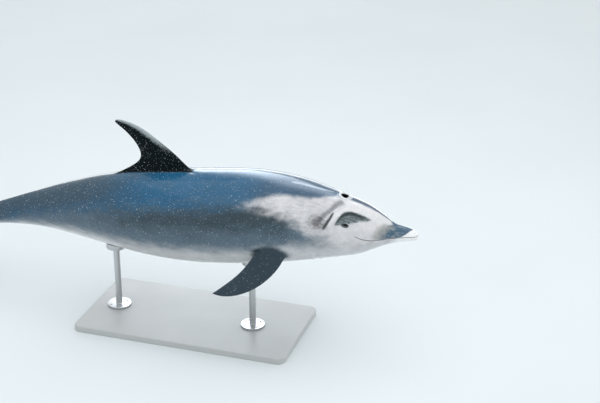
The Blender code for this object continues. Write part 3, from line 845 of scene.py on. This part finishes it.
beakPaint = {  # angle from the top, distance back: where the grey starts and where the tip turns white
    "rear": table((degree, mm), (0, 106), (14, 112), (20, 122), (30, 138), (42, 152), (57, 168), (80, 180)),
    "tip": table((degree, mm), (0, 24), (37, 40), (60, 54), (80, 72), (100, 105), (180, 140)),
}


def belowLine(name, soft):  # from 0 above a line to 1 below it; the other way where soft is under 0
    return softStep(-soft, soft, (angle - np.interp(at, *lines[name].T)) * reach)


def band(upper, upperSoft, lower, lowerSoft, *spans):
    # between two lines; a span is the distance back where there is none of it, then where it is full
    share = belowLine(upper, upperSoft) * belowLine(lower, -lowerSoft)
    for span in spans:
        share = share * softStep(*span, at)
    return share


def stroke(name, widths, ends):  # a soft painted stroke along a line
    across, share = alongPath(lines[name], 0.07, rightward if name in onRight else angle)
    half = np.interp(share, np.linspace(0, 1, len(widths)), widths) * mm
    return bell(across / half) * taper(share, ends)


def ringAround(place, degrees, near, far, long=1.0):  # 1 near a spot, fading out to far
    return softStep(far, near, np.hypot((at - place) / long, (angle - degrees * degree) * reach))


def blowholeMarks():  # the opening painted dark as the shade inside it, judged by its depth under the plain skin, and a painted highlight round its rim
    hole, rimHighlight = (ringAround(blowhole["at"] + 0.002, 0, *fade) for fade in ((0.024, 0.027), (0.027, 0.036)))
    deep = np.zeros(len(at))
    for k in np.flatnonzero(hole):
        deep[k] = reachAt(at[k], angle[k]) - reach[k]
    opening = hole * softStep(0.0004, 0.0022, deep)
    return opening, rimHighlight * (1 - opening)


def flipperRoot():  # an oval round the flipper's root, on the body and up its fillet
    outwards, chord = flipperAxes()
    away = mirrored - flipper["shoulder"]
    long, wide = flipper["rootOval"]
    oval = np.hypot((away @ chord - flipper["root"][0]) / long, away @ np.cross(chord, outwards) / wide)
    out = away @ outwards
    return softStep(1.25, 0.55, oval) * softStep(-0.03, 0.02, out) * softStep(0.16, 0.10, out)


def skinMarks():
    # the pale side of the head and shoulder: partly paler pigment, partly a painted sheen of bright sky on
    # the wet skin
    light = band("lightFrom", 0.024, "lightTo", 0.065, (0.91, 0.77))
    light *= np.maximum(softStep(0.03, 0.09, at), overMouth < 0)
    leaf = band("leafFrom", 0.005, "leafTo", 0.013, (0.196, 0.226), (0.378, 0.352))
    fromEye = mirrored - eyeSurface
    lid = np.hypot(fromEye @ eyeForward / 0.0140, fromEye @ eyeUp / 0.0072)
    rear, tip = (at - np.interp(angle, *beakPaint[name].T) for name in ("rear", "tip"))
    tipSoft = mix(0.0075, 0.050, softStep(0, -0.008, overMouth))
    aside = softStep(10 * degree, 55 * degree, angle)
    opening, rimHighlight = blowholeMarks()
    overBack = height - np.interp(at, places, [ring[0, 2] for ring in rings[:len(places)]])
    behindEdge = at - np.interp(overBack, dorsal["rows"][:, 2], dorsal["rows"][:, 1])
    upright = height > 0.1
    marks = {name: stroke(name, *look) for name, look in strokes.items()}
    marks |= {
        "frontBack": softStep(0.95, 0.50, at) * belowLine("cape", -0.030),
        # the lower flank: grey pigment made darker as painted shade of the side that faces down
        "flank": band("cape", 0.080, "flankTo", 0.100, (0.46, 0.62), (2.0, 1.2)),
        "belly": belowLine("belly", 0.070),
        "light": light,
        "lightPatches": 0.42 * light * softStep(0.30, 0.42, at),
        # the melon's pale sides: partly pigment, partly a painted sheen of bright sky
        "melon": band("lightFrom", 0.014, "leafFrom", 0.014, (0.10, 0.14), (0.40, 0.30)),
        # the leaf and its streaks: dark eye patch, with painted shade under the brow
        "leaf": np.maximum(leaf, 0.55 * ringAround(eye["at"], eyeAngle / degree, 0.004, 0.021, 1.4)),
        "leafStreaks": 0.5 * leaf,
        # a painted patch of shade low on the neck's folds
        "foldPatchShade": ringAround(0.442, 64, 0, 0.056, 1.1),
        # painted highlight along the neck's ridges, where they catch the light
        "ridgeHighlights": np.maximum(marks.pop("ridgeFront"), 0.8 * marks.pop("ridgeRear")),
        "rakes": ringAround(0.51, 62, 0.03, 0.10, 1.4),
        "beakTop": 0.82 * softStep(mix(0.010, 0.034, aside), mix(-0.008, -0.030, aside), rear)
                   * softStep(0, 0.007, overMouth),
        "beakRoot": softStep(0.034, 0, rear) * softStep(-0.045, -0.012, rear)
                    * softStep(12 * degree, 40 * degree, angle) * softStep(0, 0.010, overMouth),
        "beakTip": softStep(tipSoft, -tipSoft, tip),
        "rimHighlight": rimHighlight,
        "lidMargin": softStep(1.50, 1.05, lid) * (np.linalg.norm(fromEye, axis=1) < 0.03),
        # painted shade: the blowhole's opening and the line deep in the mouth's groove, painted near black
        "inside": np.maximum(opening, bell(overMouth / 0.0012) * softStep(*lips["fade"], at)),
    }
    # the dark cape over the back; its strong blue is partly a painted reflection of blue sky in the wet
    # skin
    back = belowLine("cape", -0.080)
    return {name: share * onBody for name, share in marks.items()} | {
        "back": back,
        "rearBack": softStep(1.10, 1.75, at) * back,
        "fluke": softStep(2.22, 2.40, at) * (finShare < 0.5),
        "flipper": np.maximum(softStep(0.5, 1.0, finShare), flipperRoot()) * ~upright,
        # the dorsal fin: dark pigment, made near black as painted shade of its backlit side
        "fin": softStep(0.15, 0.95, finShare) * upright,
        # a painted highlight along the fin's leading edge near its tip
        "finEdgeHighlight": softStep(0.042, 0, behindEdge) * softStep(0.05, 0.21, overBack) * upright
                   * (finShare > 0.9),
    }


def poseSkin():
    for name, values in (skinMarks() | {"straight": straight}).items():
        writeValues(skinMesh, name, values)
    skinMesh.vertices.foreach_set("co", pose(shaped).astype(np.float32).ravel())
    skinMesh.flip_normals()  # the pose runs forwards where the straight skin ran back
    skinMesh.update()
    skin = addObject("dolphinSkin", skinMesh)
    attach(skin, "root")
    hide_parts("head", "lower_jaw", "neck", "trunk_front", "trunk_rear", "tail_stock",
                "dorsal_fin", "flipper_left", "flipper_right", "fluke_left", "fluke_right")
    return skin


skin = poseSkin()
print("markings laid")


def feed(node, sources):  # links or sets a node's inputs
    for key, source in sources.items():
        if isinstance(source, bpy.types.NodeSocket):
            node.id_data.links.new(source, node.inputs[key])
        else:
            node.inputs[key].default_value = source


def addNode(tree, kind, out, sources=(), **settings):
    # sources: values or links by the input's name or number, or a list in order; gives one output
    made = tree.nodes.new("ShaderNode" + kind)
    for key, value in settings.items():
        setattr(made, key, value)
    feed(made, sources if isinstance(sources, dict) else dict(enumerate(sources)))
    return made.outputs[out]


smooth, colours = {"interpolation_type": "SMOOTHSTEP"}, {"data_type": "RGBA"}  # of MapRange, of Mix
times, less = {"operation": "MULTIPLY"}, {"operation": "SUBTRACT"}  # of Math


def startMaterial(name):
    material = bpy.data.materials.new(name)
    material.use_nodes = True
    return material, material.node_tree.nodes["Principled BSDF"], partial(addNode, material.node_tree)


wetSkin = {
    "base": "#5b6f7e",  # the grey side
    # mark, colour, strength, softness of its edge, its break-up: size in mm, amount, times as long as wide
    "layers": (
        # back: dark cape pigment, its strong blue partly a painted reflection of blue sky
        # flank: grey pigment darkened with painted shade of the down-facing side
        ("flank", "#35464f", 1, 0.5, 40, 0.9, 2), ("back", "#1f5f84", 1, 0.5, 30, 1, 2),
        ("rearBack", "#3a5263", 1, 0.5, 60, 0.5, 1), ("frontBack", "#3b5a74", 1, 0.5, 60, 0.4, 2),
        # pale head side, shoulder and melon: partly pigment, partly a painted sheen of bright sky
        ("belly", "#d2d3d5", 1, 0.5, 50, 0.9, 2), ("light", "#e4e2e4", 1, 0.5, 30, 1.1, 1.6),
        ("lightPatches", "#a4a7b0", 0.55, 0.4, 13, 1.6, 3), ("melon", "#ecebec", 0.9, 0.48, 16, 0.6, 2),
        # painted highlight on the neck's ridges
        ("ridgeHighlights", "#f4f3f5", 0.8, 0.5, 8, 0.5, 1), ("eyeStripe", "#8b959c", 0.5, 0.48, 16, 0.4, 3),
        # painted sheen and painted highlight along the nape
        ("paintedNapeSheen", "#8ea3b6", 0.3, 0.5, 20, 0.4, 4), ("paintedNapeHighlight", "#b9c6d4", 0.8, 0.5, 8, 0.8, 3),
        # painted shade in the neck's folds
        ("foldBandShade", "#6a6f76", 0.72, 0.5, 12, 1, 1), ("foldPatchShade", "#4d4a4c", 0.75, 0.5, 11, 2, 2.2),
        ("foldStrokeShade", "#36383c", 0.95, 0.5, 5, 0.8, 1), ("stripe", "#4f6075", 1, 0.5, 10, 0.7, 3),
        # leaf: eye patch pigment with painted shade under the brow; the brow's rim is a painted shadow line
        ("leaf", "#778689", 0.95, 0.5, 9, 1.3, 6), ("leafStreaks", "#364247", 0.85, 0.3, 8, 2.6, 6),
        ("browRimShadow", "#343f43", 0.9, 0.5, 6, 1.3, 6), ("beakTop", "#456479", 1, 0.5, 10, 1.5, 2.5),
        ("beakRoot", "#a9a8a3", 0.62, 0.5, 12, 0.9, 2), ("beakTip", "#fdfdfd", 1, 0.45, 9, 0.3, 1),
        # rimHighlight: painted highlight round the blowhole's rim
        ("rimHighlight", "#e6e9ec", 0.8, 0.45, 6, 0.3, 1), ("lidMargin", "#23282b", 0.85, 0.5, 4, 0.4, 1),
        ("fluke", "#2b3d49", 1, 0.48, 40, 0.3, 1), ("flipper", "#2b3d49", 1, 0.45, 18, 0.3, 1),
        # fin: dark pigment made near black with painted shade
        # painted highlight on the fin's leading edge
        ("fin", "#020e11", 1, 0.35, 25, 0.3, 1), ("finEdgeHighlight", "#b4bfc2", 0.9, 0.5, 7, 1.3, 1),
        # inside: painted shade in the blowhole and the mouth's groove
        ("inside", "#030404", 1, 0.3, 5, 0, 1)),
    "mottling": ((130, 0.89), (22, 0.93), (6, 0.94)),  # mm, and how dark: patches a hand across to grains
    "rakes": ("#55595e", 0.55, 5, 16, 33),  # colour, strength, mm wide, times as long, degrees of slant
    # colour, strength, mm between, share of that across, share left out
    "flecks": (("#d3e0ea", 0.75, 13, 0.19, 0.4), ("#b7cad8", 0.55, 6, 0.3, 0.25)),
    "fewerFlecks": (("light", 0.8), ("belly", 0.85), ("leaf", 0.85), ("flank", 0.35), ("flipper", 0.45),
                    ("fluke", 0.45), ("rimHighlight", 1), ("inside", 1), ("beakTip", 0.9)),  # mark, share left out
    "ragged": (3, 0.0026),  # a fine noise that pushes flecks out of round: mm, metres
    "roughness": (0.16, 0.28),
    "ior": 1.18,
    "coat": (1, 0),  # the film of water, on the body and on the dry fin and flukes
    "coatRoughness": 0.09, "coatIor": 1.33,
    "bumps": ((18, 0.00022), (4, 0.00005)),  # water film and skin grain: mm, metres of height
}


def wetDolphinSkin():
    # living skin: rubbery, very smooth, with a film of water that gives sharp glints over a soft sheen
    material, shader, node = startMaterial("wetDolphinSkin")
    place = node("Attribute", "Vector", attribute_name="straight")
    marks = {layer[0]: node("Attribute", "Fac", attribute_name=layer[0]) for layer in wetSkin["layers"]}
    even = {"Vector": place, "Detail": 3, "Roughness": 0.55}
    paints = []  # (share, colour, how it is laid over what is under it)

    for name, code, strength, soft, grain, amount, stretch in wetSkin["layers"]:
        value = marks[name]
        if amount:
            long = node("VectorMath", 0, [place, (1 / stretch, 1, 1)], **times)
            broken = node("TexNoise", "Fac", {"Vector": long, "Scale": 1000 / grain, "Detail": 5,
                                              "Roughness": 0.62})
            broken = node("Math", 0, [broken, 0.5], **less)
            # full strength at the edge of a mark, and none where it isn't painted at all
            most = node("MapRange", 0, [value, 0, 0.25, 0, amount], **smooth)
            value = node("Math", 0, [broken, most, value], operation="MULTIPLY_ADD")
        share = node("MapRange", 0, [value, 0.5 - soft, 0.5 + soft, 0, strength], **smooth)
        paints.append((share, fromHex(code), "MIX"))

    # mottling of the pigment
    for grain, low in wetSkin["mottling"]:
        shade = node("TexNoise", "Fac", even | {"Scale": 1000 / grain})
        shade = node("MapRange", 0, [shade, 0.3, 0.7, low, 1], **smooth)
        paints.append((1, node("CombineColor", 0, [shade] * 3), "MULTIPLY"))

    # rake marks: short slanting strokes that other dolphins' teeth leave on the side
    code, strength, wide, stretch, slant = wetSkin["rakes"]
    long = node("Mapping", 0, {"Vector": place, "Rotation": (0, math.pi - slant * degree, 0)})
    long = node("VectorMath", 0, [long, (1 / stretch, 1, 1)], **times)
    share = node("Attribute", "Fac", attribute_name="rakes")
    for source, low, high, most in (({"Vector": long, "Scale": 1000 / wide, "Detail": 2, "Roughness": 0.5},
                                     0.55, 0.70, 1), (even | {"Scale": 1000 / 45}, 0.42, 0.60, strength)):
        shown = node("MapRange", 0, [node("TexNoise", "Fac", source), low, high, 0, most], **smooth)
        share = node("Math", 0, [share, shown], **times)
    paints.append((share, fromHex(code), "MIX"))

    # fine pale flecks: partly small scars and freckles, partly painted glints of water beads on the wet
    # skin
    grain, push = wetSkin["ragged"]
    ragged = node("TexNoise", "Color", {"Vector": place, "Scale": 1000 / grain, "Detail": 1})
    ragged = node("VectorMath", 0, [ragged, (push, push, push), place], operation="MULTIPLY_ADD")
    fewer = 0
    for name, share in wetSkin["fewerFlecks"]:
        left = node("Math", 0, [marks[name], share], **times)
        fewer = node("Math", 0, [fewer, left], operation="MAXIMUM")
    for code, strength, apart, across, leftOut in wetSkin["flecks"]:
        far = node("TexVoronoi", "Distance", {"Vector": ragged, "Scale": 1000 / apart, "Randomness": 1})
        chance = node("SeparateColor", 0, [far.node.outputs["Color"]])
        size = node("Math", 0, [chance, across], **times)
        dot = node("MapRange", 0, [node("Math", 0, [far, size], **less), 0, -0.06], **smooth)
        chosen = node("Math", 0, [chance, fewer], **less)
        chosen = node("MapRange", 0, [chosen, leftOut, leftOut + 0.3, 0, strength], **smooth)
        paints.append((node("Math", 0, [dot, chosen], **times), fromHex(code), "MIX"))

    colour = fromHex(wetSkin["base"])
    for share, paint, way in paints:
        colour = node("Mix", 2, {0: share, 6: colour, 7: paint}, blend_type=way, **colours)
    rough = node("TexNoise", "Fac", even | {"Scale": 1000 / 38})
    dry = node("Math", 0, [marks["fin"], marks["fluke"]], operation="MAXIMUM")
    bump = {}
    for grain, depth in wetSkin["bumps"]:
        grainy = node("TexNoise", "Fac", even | {"Scale": 1000 / grain, "Detail": 2})
        bump |= {"Height": grainy, "Distance": depth, "Strength": 1}
        bump = {"Normal": node("Bump", "Normal", bump)}
    feed(shader, bump | {
        "Base Color": colour, "IOR": wetSkin["ior"],
        "Roughness": node("MapRange", 0, [rough, 0.3, 0.7, *wetSkin["roughness"]], **smooth),
        "Coat Weight": node("MapRange", 0, [dry, 0.2, 0.8, *wetSkin["coat"]], **smooth),
        "Coat Roughness": wetSkin["coatRoughness"], "Coat IOR": wetSkin["coatIor"]})
    return material


skinMesh.materials.clear()
skinMesh.materials.append(wetDolphinSkin())


def around(count):  # turns round a circle
    return np.arange(count) / count * 2 * math.pi


def turnedRings(profile, middle, count=96):  # a turned form's rings, from (radius, level) pairs
    x, y, turns = *middle, around(count)
    return [np.stack([x + radius * np.cos(turns), y + radius * np.sin(turns), np.full(count, level)], -1)
            for radius, level in profile]


def roundedTop(radius, level, soft, steps=5):  # (radius, level) round a soft upper corner
    return [(radius - soft + soft * math.cos(turn), level - soft + soft * math.sin(turn))
            for turn in np.linspace(0, math.pi / 2, steps)]


def lofted(name, rings, sharp):  # a closed body through rings from the bottom up; a ring may be one point
    points, faces, rowsOf = [], [], []
    most = max(len(ring) for ring in rings)
    for ring in rings:
        first = len(points)
        points += [tuple(map(float, point)) for point in ring]
        rowsOf.append([first] * most if len(ring) == 1 else list(range(first, first + most)))
    for near, far in zip(rowsOf, rowsOf[1:]):
        for i in range(most):
            j = (i + 1) % most
            faces.append(list(dict.fromkeys((near[i], near[j], far[j], far[i]))))
    if len(rings[0]) > 1:
        faces.append(rowsOf[0][::-1])
    if len(rings[-1]) > 1:
        faces.append(rowsOf[-1])
    mesh = bpy.data.meshes.new(name)
    mesh.from_pydata(points, [], faces)
    mesh.shade_smooth()
    mesh.set_sharp_from_angle(angle=sharp * degree)
    return mesh


def addPiece(name, rings, material, slot, *replaced, sharp=32):
    piece = addObject(name, lofted(name, rings, sharp))
    piece.data.materials.append(material)
    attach(piece, "root")
    if replaced:
        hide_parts(*replaced)
    return piece


eyeball = {
    "pupil": (0.30, 0.22), "iris": 0.62,  # half width and height of the pupil, radius of the iris
    "rings": 28, "around": 64,
    "irisColours": ("#0a0605", "#22160e"), "whiteColours": ("#262120", "#4a4441"), "pupilColour": "#020202",
    "roughness": 0.04, "ior": 1.376,  # of the cornea
}


def addEyeballs():
    glass = darkGlassyEye()
    for name, way in (("left", 1), ("right", -1)):
        gazes = []
        for turn in np.linspace(math.pi, 0, eyeball["rings"] + 1):
            phis = -way * around(1 if turn in (math.pi, 0) else eyeball["around"])
            gazes.append(np.stack([math.sin(turn) * np.cos(phis), math.sin(turn) * np.sin(phis),
                                   np.full(len(phis), math.cos(turn))], -1))
        axes = eye["radius"] * np.array([eyeForward, eyeUp, gaze])
        rings = [pose((eyeMiddle + ring @ axes) * (1, way, 1)) for ring in gazes]
        piece = addPiece("eyeball" + name.title(), rings, glass, "eye", "eye_" + name, sharp=180)
        writeValues(piece.data, "gaze", np.concatenate(gazes))


def darkGlassyEye():
    # a wet living eye cast in clear resin over paint: dark brown iris, black pupil, sharp glints
    material, shader, node = startMaterial("darkGlassyEye")
    looks = node("Attribute", "Vector", attribute_name="gaze")
    wide, tall = eyeball["pupil"]
    flat = [node("VectorMath", 0, [looks, scale], **times)
            for scale in ((1, 1, 0), (1 / wide, 1 / tall, 0))]
    out, pupilOut = (node("VectorMath", "Value", [place], operation="LENGTH") for place in flat)
    fibres = node("TexNoise", "Fac", {"Vector": looks, "Scale": 9, "Detail": 4})
    iris, white = (
        node("Mix", 2, {0: node("MapRange", 0, [fibres, low, 1 - low], **smooth),
                        6: fromHex(dark), 7: fromHex(pale)}, **colours)
        for low, (dark, pale) in ((0.35, eyeball["irisColours"]), (0.3, eyeball["whiteColours"])))
    edge = node("MapRange", 0, [out, eyeball["iris"], eyeball["iris"] + 0.06], **smooth)
    colour = node("Mix", 2, {0: edge, 6: iris, 7: white}, **colours)
    edge = node("MapRange", 0, [pupilOut, 1.08, 0.94], **smooth)
    colour = node("Mix", 2, {0: edge, 6: colour, 7: fromHex(eyeball["pupilColour"])}, **colours)
    feed(shader, {"Base Color": colour, "Roughness": eyeball["roughness"], "IOR": eyeball["ior"]})
    return material


addEyeballs()
print("eyes set")

finishes = {  # a pattern is its size in mm and its detail; a bump's depth and strength follow those
    # lacquer sprayed on board: an even satin with a faint orange-peel ripple and soft clouds
    "satinLacqueredBoard": {"colours": ("#bfc1c0", "#b4b7b7"), "pattern": (180, 3), "rough": (0.36, 0.50),
                            "bump": (4, 1, 0.00012, 0.6)},
    # drawn bar and turned discs: fine scratches run round, so highlights smear along the rod
    "brushedStainlessSteel": {"colours": ("#b9bbbd", "#d3d5d6"), "pattern": (40, 6), "rough": (0.22, 0.42),
                              "bump": (40, 6, 0.00004, 0.5), "finerUp": 30, "metallic": 1},
    # a soft black pad that keeps the metal off the belly: matt, with a fine grain
    "mouldedRubber": {"colours": ("#1c1d1e", "#2b2d2e"), "pattern": (2, 2), "rough": 0.75,
                      "bump": (2, 2, 0.0001, 0.5)},
    # pale painted floor, quite matt, so that it only takes soft shadows
    "mattStudioFloor": {"colours": ("#e9eff1", "#e1e8ea"), "pattern": (1250, 2), "rough": 0.9},
}


def finish(name):
    material, shader, node = startMaterial(name)
    look = finishes[name]
    place = node("TexCoord", "Object")
    if "finerUp" in look:
        place = node("Mapping", 0, {"Vector": place, "Scale": (1, 1, look["finerUp"])})
    size, detail = look["pattern"]
    pattern = node("TexNoise", "Fac", {"Vector": place, "Scale": 1000 / size, "Detail": detail})
    under, over = map(fromHex, look["colours"])
    rough = look["rough"]
    if isinstance(rough, tuple):
        rough = node("MapRange", 0, [pattern, 0, 1, *rough])
    feed(shader, {"Base Color": node("Mix", 2, {0: pattern, 6: under, 7: over}, **colours),
                  "Roughness": rough, "Metallic": look.get("metallic", 0)})
    if "bump" in look:
        size, detail, depth, strength = look["bump"]
        grain = node("TexNoise", "Fac", {"Vector": place, "Scale": 1000 / size, "Detail": detail})
        bump = {"Height": grain, "Distance": depth, "Strength": strength}
        feed(shader, {"Normal": node("Bump", "Normal", bump)})
    return material


stand = {
    "corner": 0.040, "softEdge": 0.004, "foot": 0.0015,  # of the base: its corners, upper and lower edge
    "flangeEdge": 0.0022, "flangeFoot": 0.0008,
    "rod": 0.016, "weld": 0.003,
    "screws": 4, "screwAt": 0.043, "screwHead": 0.0056, "screwHigh": 0.0030, "hexagon": 0.0021,
    "dome": ((1, 0), (1, 0.22), (0.93, 0.58), (0.76, 0.86), (0.56, 1)),  # of a screw: shares out and up
    "liner": 0.0045, "linerOut": 0.0012,  # thickness of the rubber under the belly, and how far it shows
}


def baseRing(inset, level):  # a rectangle with round corners, drawn in from the solid's box
    low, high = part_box("stand_base")
    corner, points = stand["corner"], []
    for quarter, (x, y) in enumerate(((1, 1), (-1, 1), (-1, -1), (1, -1))):
        middleX = (high.x if x > 0 else low.x) - x * corner
        middleY = (high.y if y > 0 else low.y) - y * corner
        for turn in np.linspace(0, math.pi / 2, 17) + quarter * math.pi / 2:
            points.append((middleX + (corner - inset) * math.cos(turn),
                           middleY + (corner - inset) * math.sin(turn), level))
    return points


def addBase():
    low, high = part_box("stand_base")
    foot = stand["foot"]
    rings = [baseRing(foot, low.z), baseRing(0.0, low.z + foot)]
    rings += [baseRing(-out, level) for out, level in roundedTop(0.0, high.z, stand["softEdge"])]
    addPiece("standBase", rings, finish("satinLacqueredBoard"), "stand_paint", "stand_base")


def roundSolid(name):  # floor, top, middle and radius of an upright round solid
    low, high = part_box(name)
    return low.z, high.z, ((low.x + high.x) / 2, (low.y + high.y) / 2), (high.x - low.x) / 2


def addFlange(end):
    low, high, middle, radius = roundSolid("stand_flange_" + end)
    foot = stand["flangeFoot"]
    profile = [(radius - foot, low), (radius, low + foot), *roundedTop(radius, high, stand["flangeEdge"])]
    addPiece("standFlange" + end.title(), turnedRings(profile, middle), steel, "stand_steel",
             "stand_flange_" + end)
    head, tall = stand["screwHead"], stand["screwHigh"]
    hexagon = stand["hexagon"] / np.cos(around(48) % (math.pi / 3) - math.pi / 6)
    for k in range(stand["screws"]):
        turn = (k + 0.5) / stand["screws"] * 2 * math.pi
        spot = np.array(middle) + stand["screwAt"] * np.array([math.cos(turn), math.sin(turn)])
        profile = [(head * share, high + up * tall) for share, up in stand["dome"]]
        profile += [(hexagon, high + tall), (hexagon * 0.98, high + tall / 4)]
        addPiece(f"standScrew{end.title()}{k + 1}", turnedRings(profile, spot, 48), steel, "stand_steel")


def addRod(end):
    low, high, middle, _ = roundSolid("stand_rod_" + end)
    weld = stand["weld"]
    foot = [(stand["rod"] + weld - weld * math.sin(turn), weld - weld * math.cos(turn))
            for turn in np.linspace(0, math.pi / 2, 6)]
    profile = [(r, low + level) for r, level in foot] + [(r, high - level) for r, level in foot[::-1]]
    addPiece("standRod" + end.title(), turnedRings(profile, middle), steel, "stand_steel",
             "stand_rod_" + end)


def addSaddle(end):
    low, _, middle, radius = roundSolid("stand_saddle_" + end)

    def hugging(*section):  # rings that keep their distances under the belly
        rings = turnedRings([(radius + out, low) for out, _ in section], middle)
        for ring, (_, under) in zip(rings, section):
            for point in ring:
                point[2] = bodyTree.ray_cast(Vector(point), Vector((0, 0, 1)))[0].z - under
        return rings

    thick, out = stand["liner"], stand["linerOut"]
    cup = turnedRings([(radius - 0.0020, low), (radius - 0.0006, low + 0.0006), (radius, low + 0.0020)],
                      middle) + hugging((0, thick + 0.0008), (-0.0008, thick), (-0.010, thick))
    addPiece("standSaddle" + end.title(), cup, steel, "stand_steel", "stand_saddle_" + end)
    liner = hugging((-0.012, thick - 0.0002), (out - 0.0010, thick - 0.0002), (out, thick - 0.0012),
                    (out, 0.0012), (out - 0.0010, 0.0002), (-0.012, 0.0002))
    addPiece("standLiner" + end.title(), liner, rubber, "fin_skin")


bodyTree = BVHTree.FromObject(skin, bpy.context.evaluated_depsgraph_get())
addBase()
steel, rubber = finish("brushedStainlessSteel"), finish("mouldedRubber")
for end in ("front", "rear"):
    addFlange(end)
    addRod(end)
    addSaddle(end)
print("stand made")

studio = {
    "floorSize": 80,
    "sky": "#f4f7f9", "light": 0.87,
    "window": 4.2,  # how much brighter the low sky behind is
    "windowTo": 0.42, "windowSide": (0.15, 0.85),
    "box": {"size": (6.0, 4.5), "place": (0.4, -0.4, 4.0), "aim": (0.3, 0, 0.7), "watts": 66,
            "colour": "#fafdff"},
    # a card over and behind the back that only shows in its gloss, fading out on the near sides
    "card": {"size": (9.0, 2.5), "place": (-1.30, 4.01, 3.2), "turn": 123.7, "watts": 400,
             "fades": (("X", 0.0, 0.16), ("Y", 0.96, 0.60), ("Y", 0.0, 0.28)), "colour": "#e8f3ff"},
}


def makeStudio():
    half = studio["floorSize"] / 2
    mesh = bpy.data.meshes.new("floor")
    mesh.from_pydata([(-half, -half, 0), (half, -half, 0), (half, half, 0), (-half, half, 0)], [],
                     [(0, 1, 2, 3)])
    mesh.materials.append(finish("mattStudioFloor"))
    addObject("floor", mesh)
    world = bpy.data.worlds.new("studio")
    bpy.context.scene.world = world
    world.use_nodes = True
    node = partial(addNode, world.node_tree)
    height = node("SeparateXYZ", "Z", [node("TexCoord", "Generated")])
    low = node("MapRange", 0, [height, studio["windowTo"], 0], **smooth)
    behind = node("MapRange", 0, [height.node.outputs["Y"], *studio["windowSide"]], **smooth)
    window = node("Math", 0, [low, behind], **times)
    level = node("MapRange", 0, [window, 0, 1, studio["light"], studio["light"] * studio["window"]])
    feed(world.node_tree.nodes["Background"], {"Color": fromHex(studio["sky"]), "Strength": level})


def hangLamp(name, look):
    lamp = bpy.data.lights.new(name, "AREA")
    lamp.shape, lamp.energy = "RECTANGLE", look["watts"]
    lamp.size, lamp.size_y = look["size"]
    light = addObject(name, lamp)
    light.location = look["place"]
    light.visible_camera = False
    return light


def hangBox():
    look = studio["box"]
    light = hangLamp("boxAbove", look)
    light.data.color = fromHex(look["colour"])[:3]
    light.rotation_euler = (Vector(look["place"]) - Vector(look["aim"])).to_track_quat("Z", "Y").to_euler()


def hangCard():
    look = studio["card"]
    light = hangLamp("glossCard", look)
    light.rotation_euler = (0, 0, look["turn"] * degree)
    light.visible_diffuse = False
    light.data.use_nodes = True
    tree = light.data.node_tree
    across = addNode(tree, "SeparateXYZ", 0, [addNode(tree, "NewGeometry", "Parametric")])
    level = 1.0
    for axis, low, high in look["fades"]:
        share = addNode(tree, "MapRange", 0, [across.node.outputs[axis], low, high], **smooth)
        level = addNode(tree, "Math", 0, [level, share], **times)
    feed(tree.nodes["Emission"], {"Color": fromHex(look["colour"]), "Strength": level})


makeStudio()
hangBox()
hangCard()
bpy.context.scene.view_settings.view_transform = "Standard"
print("studio lit")
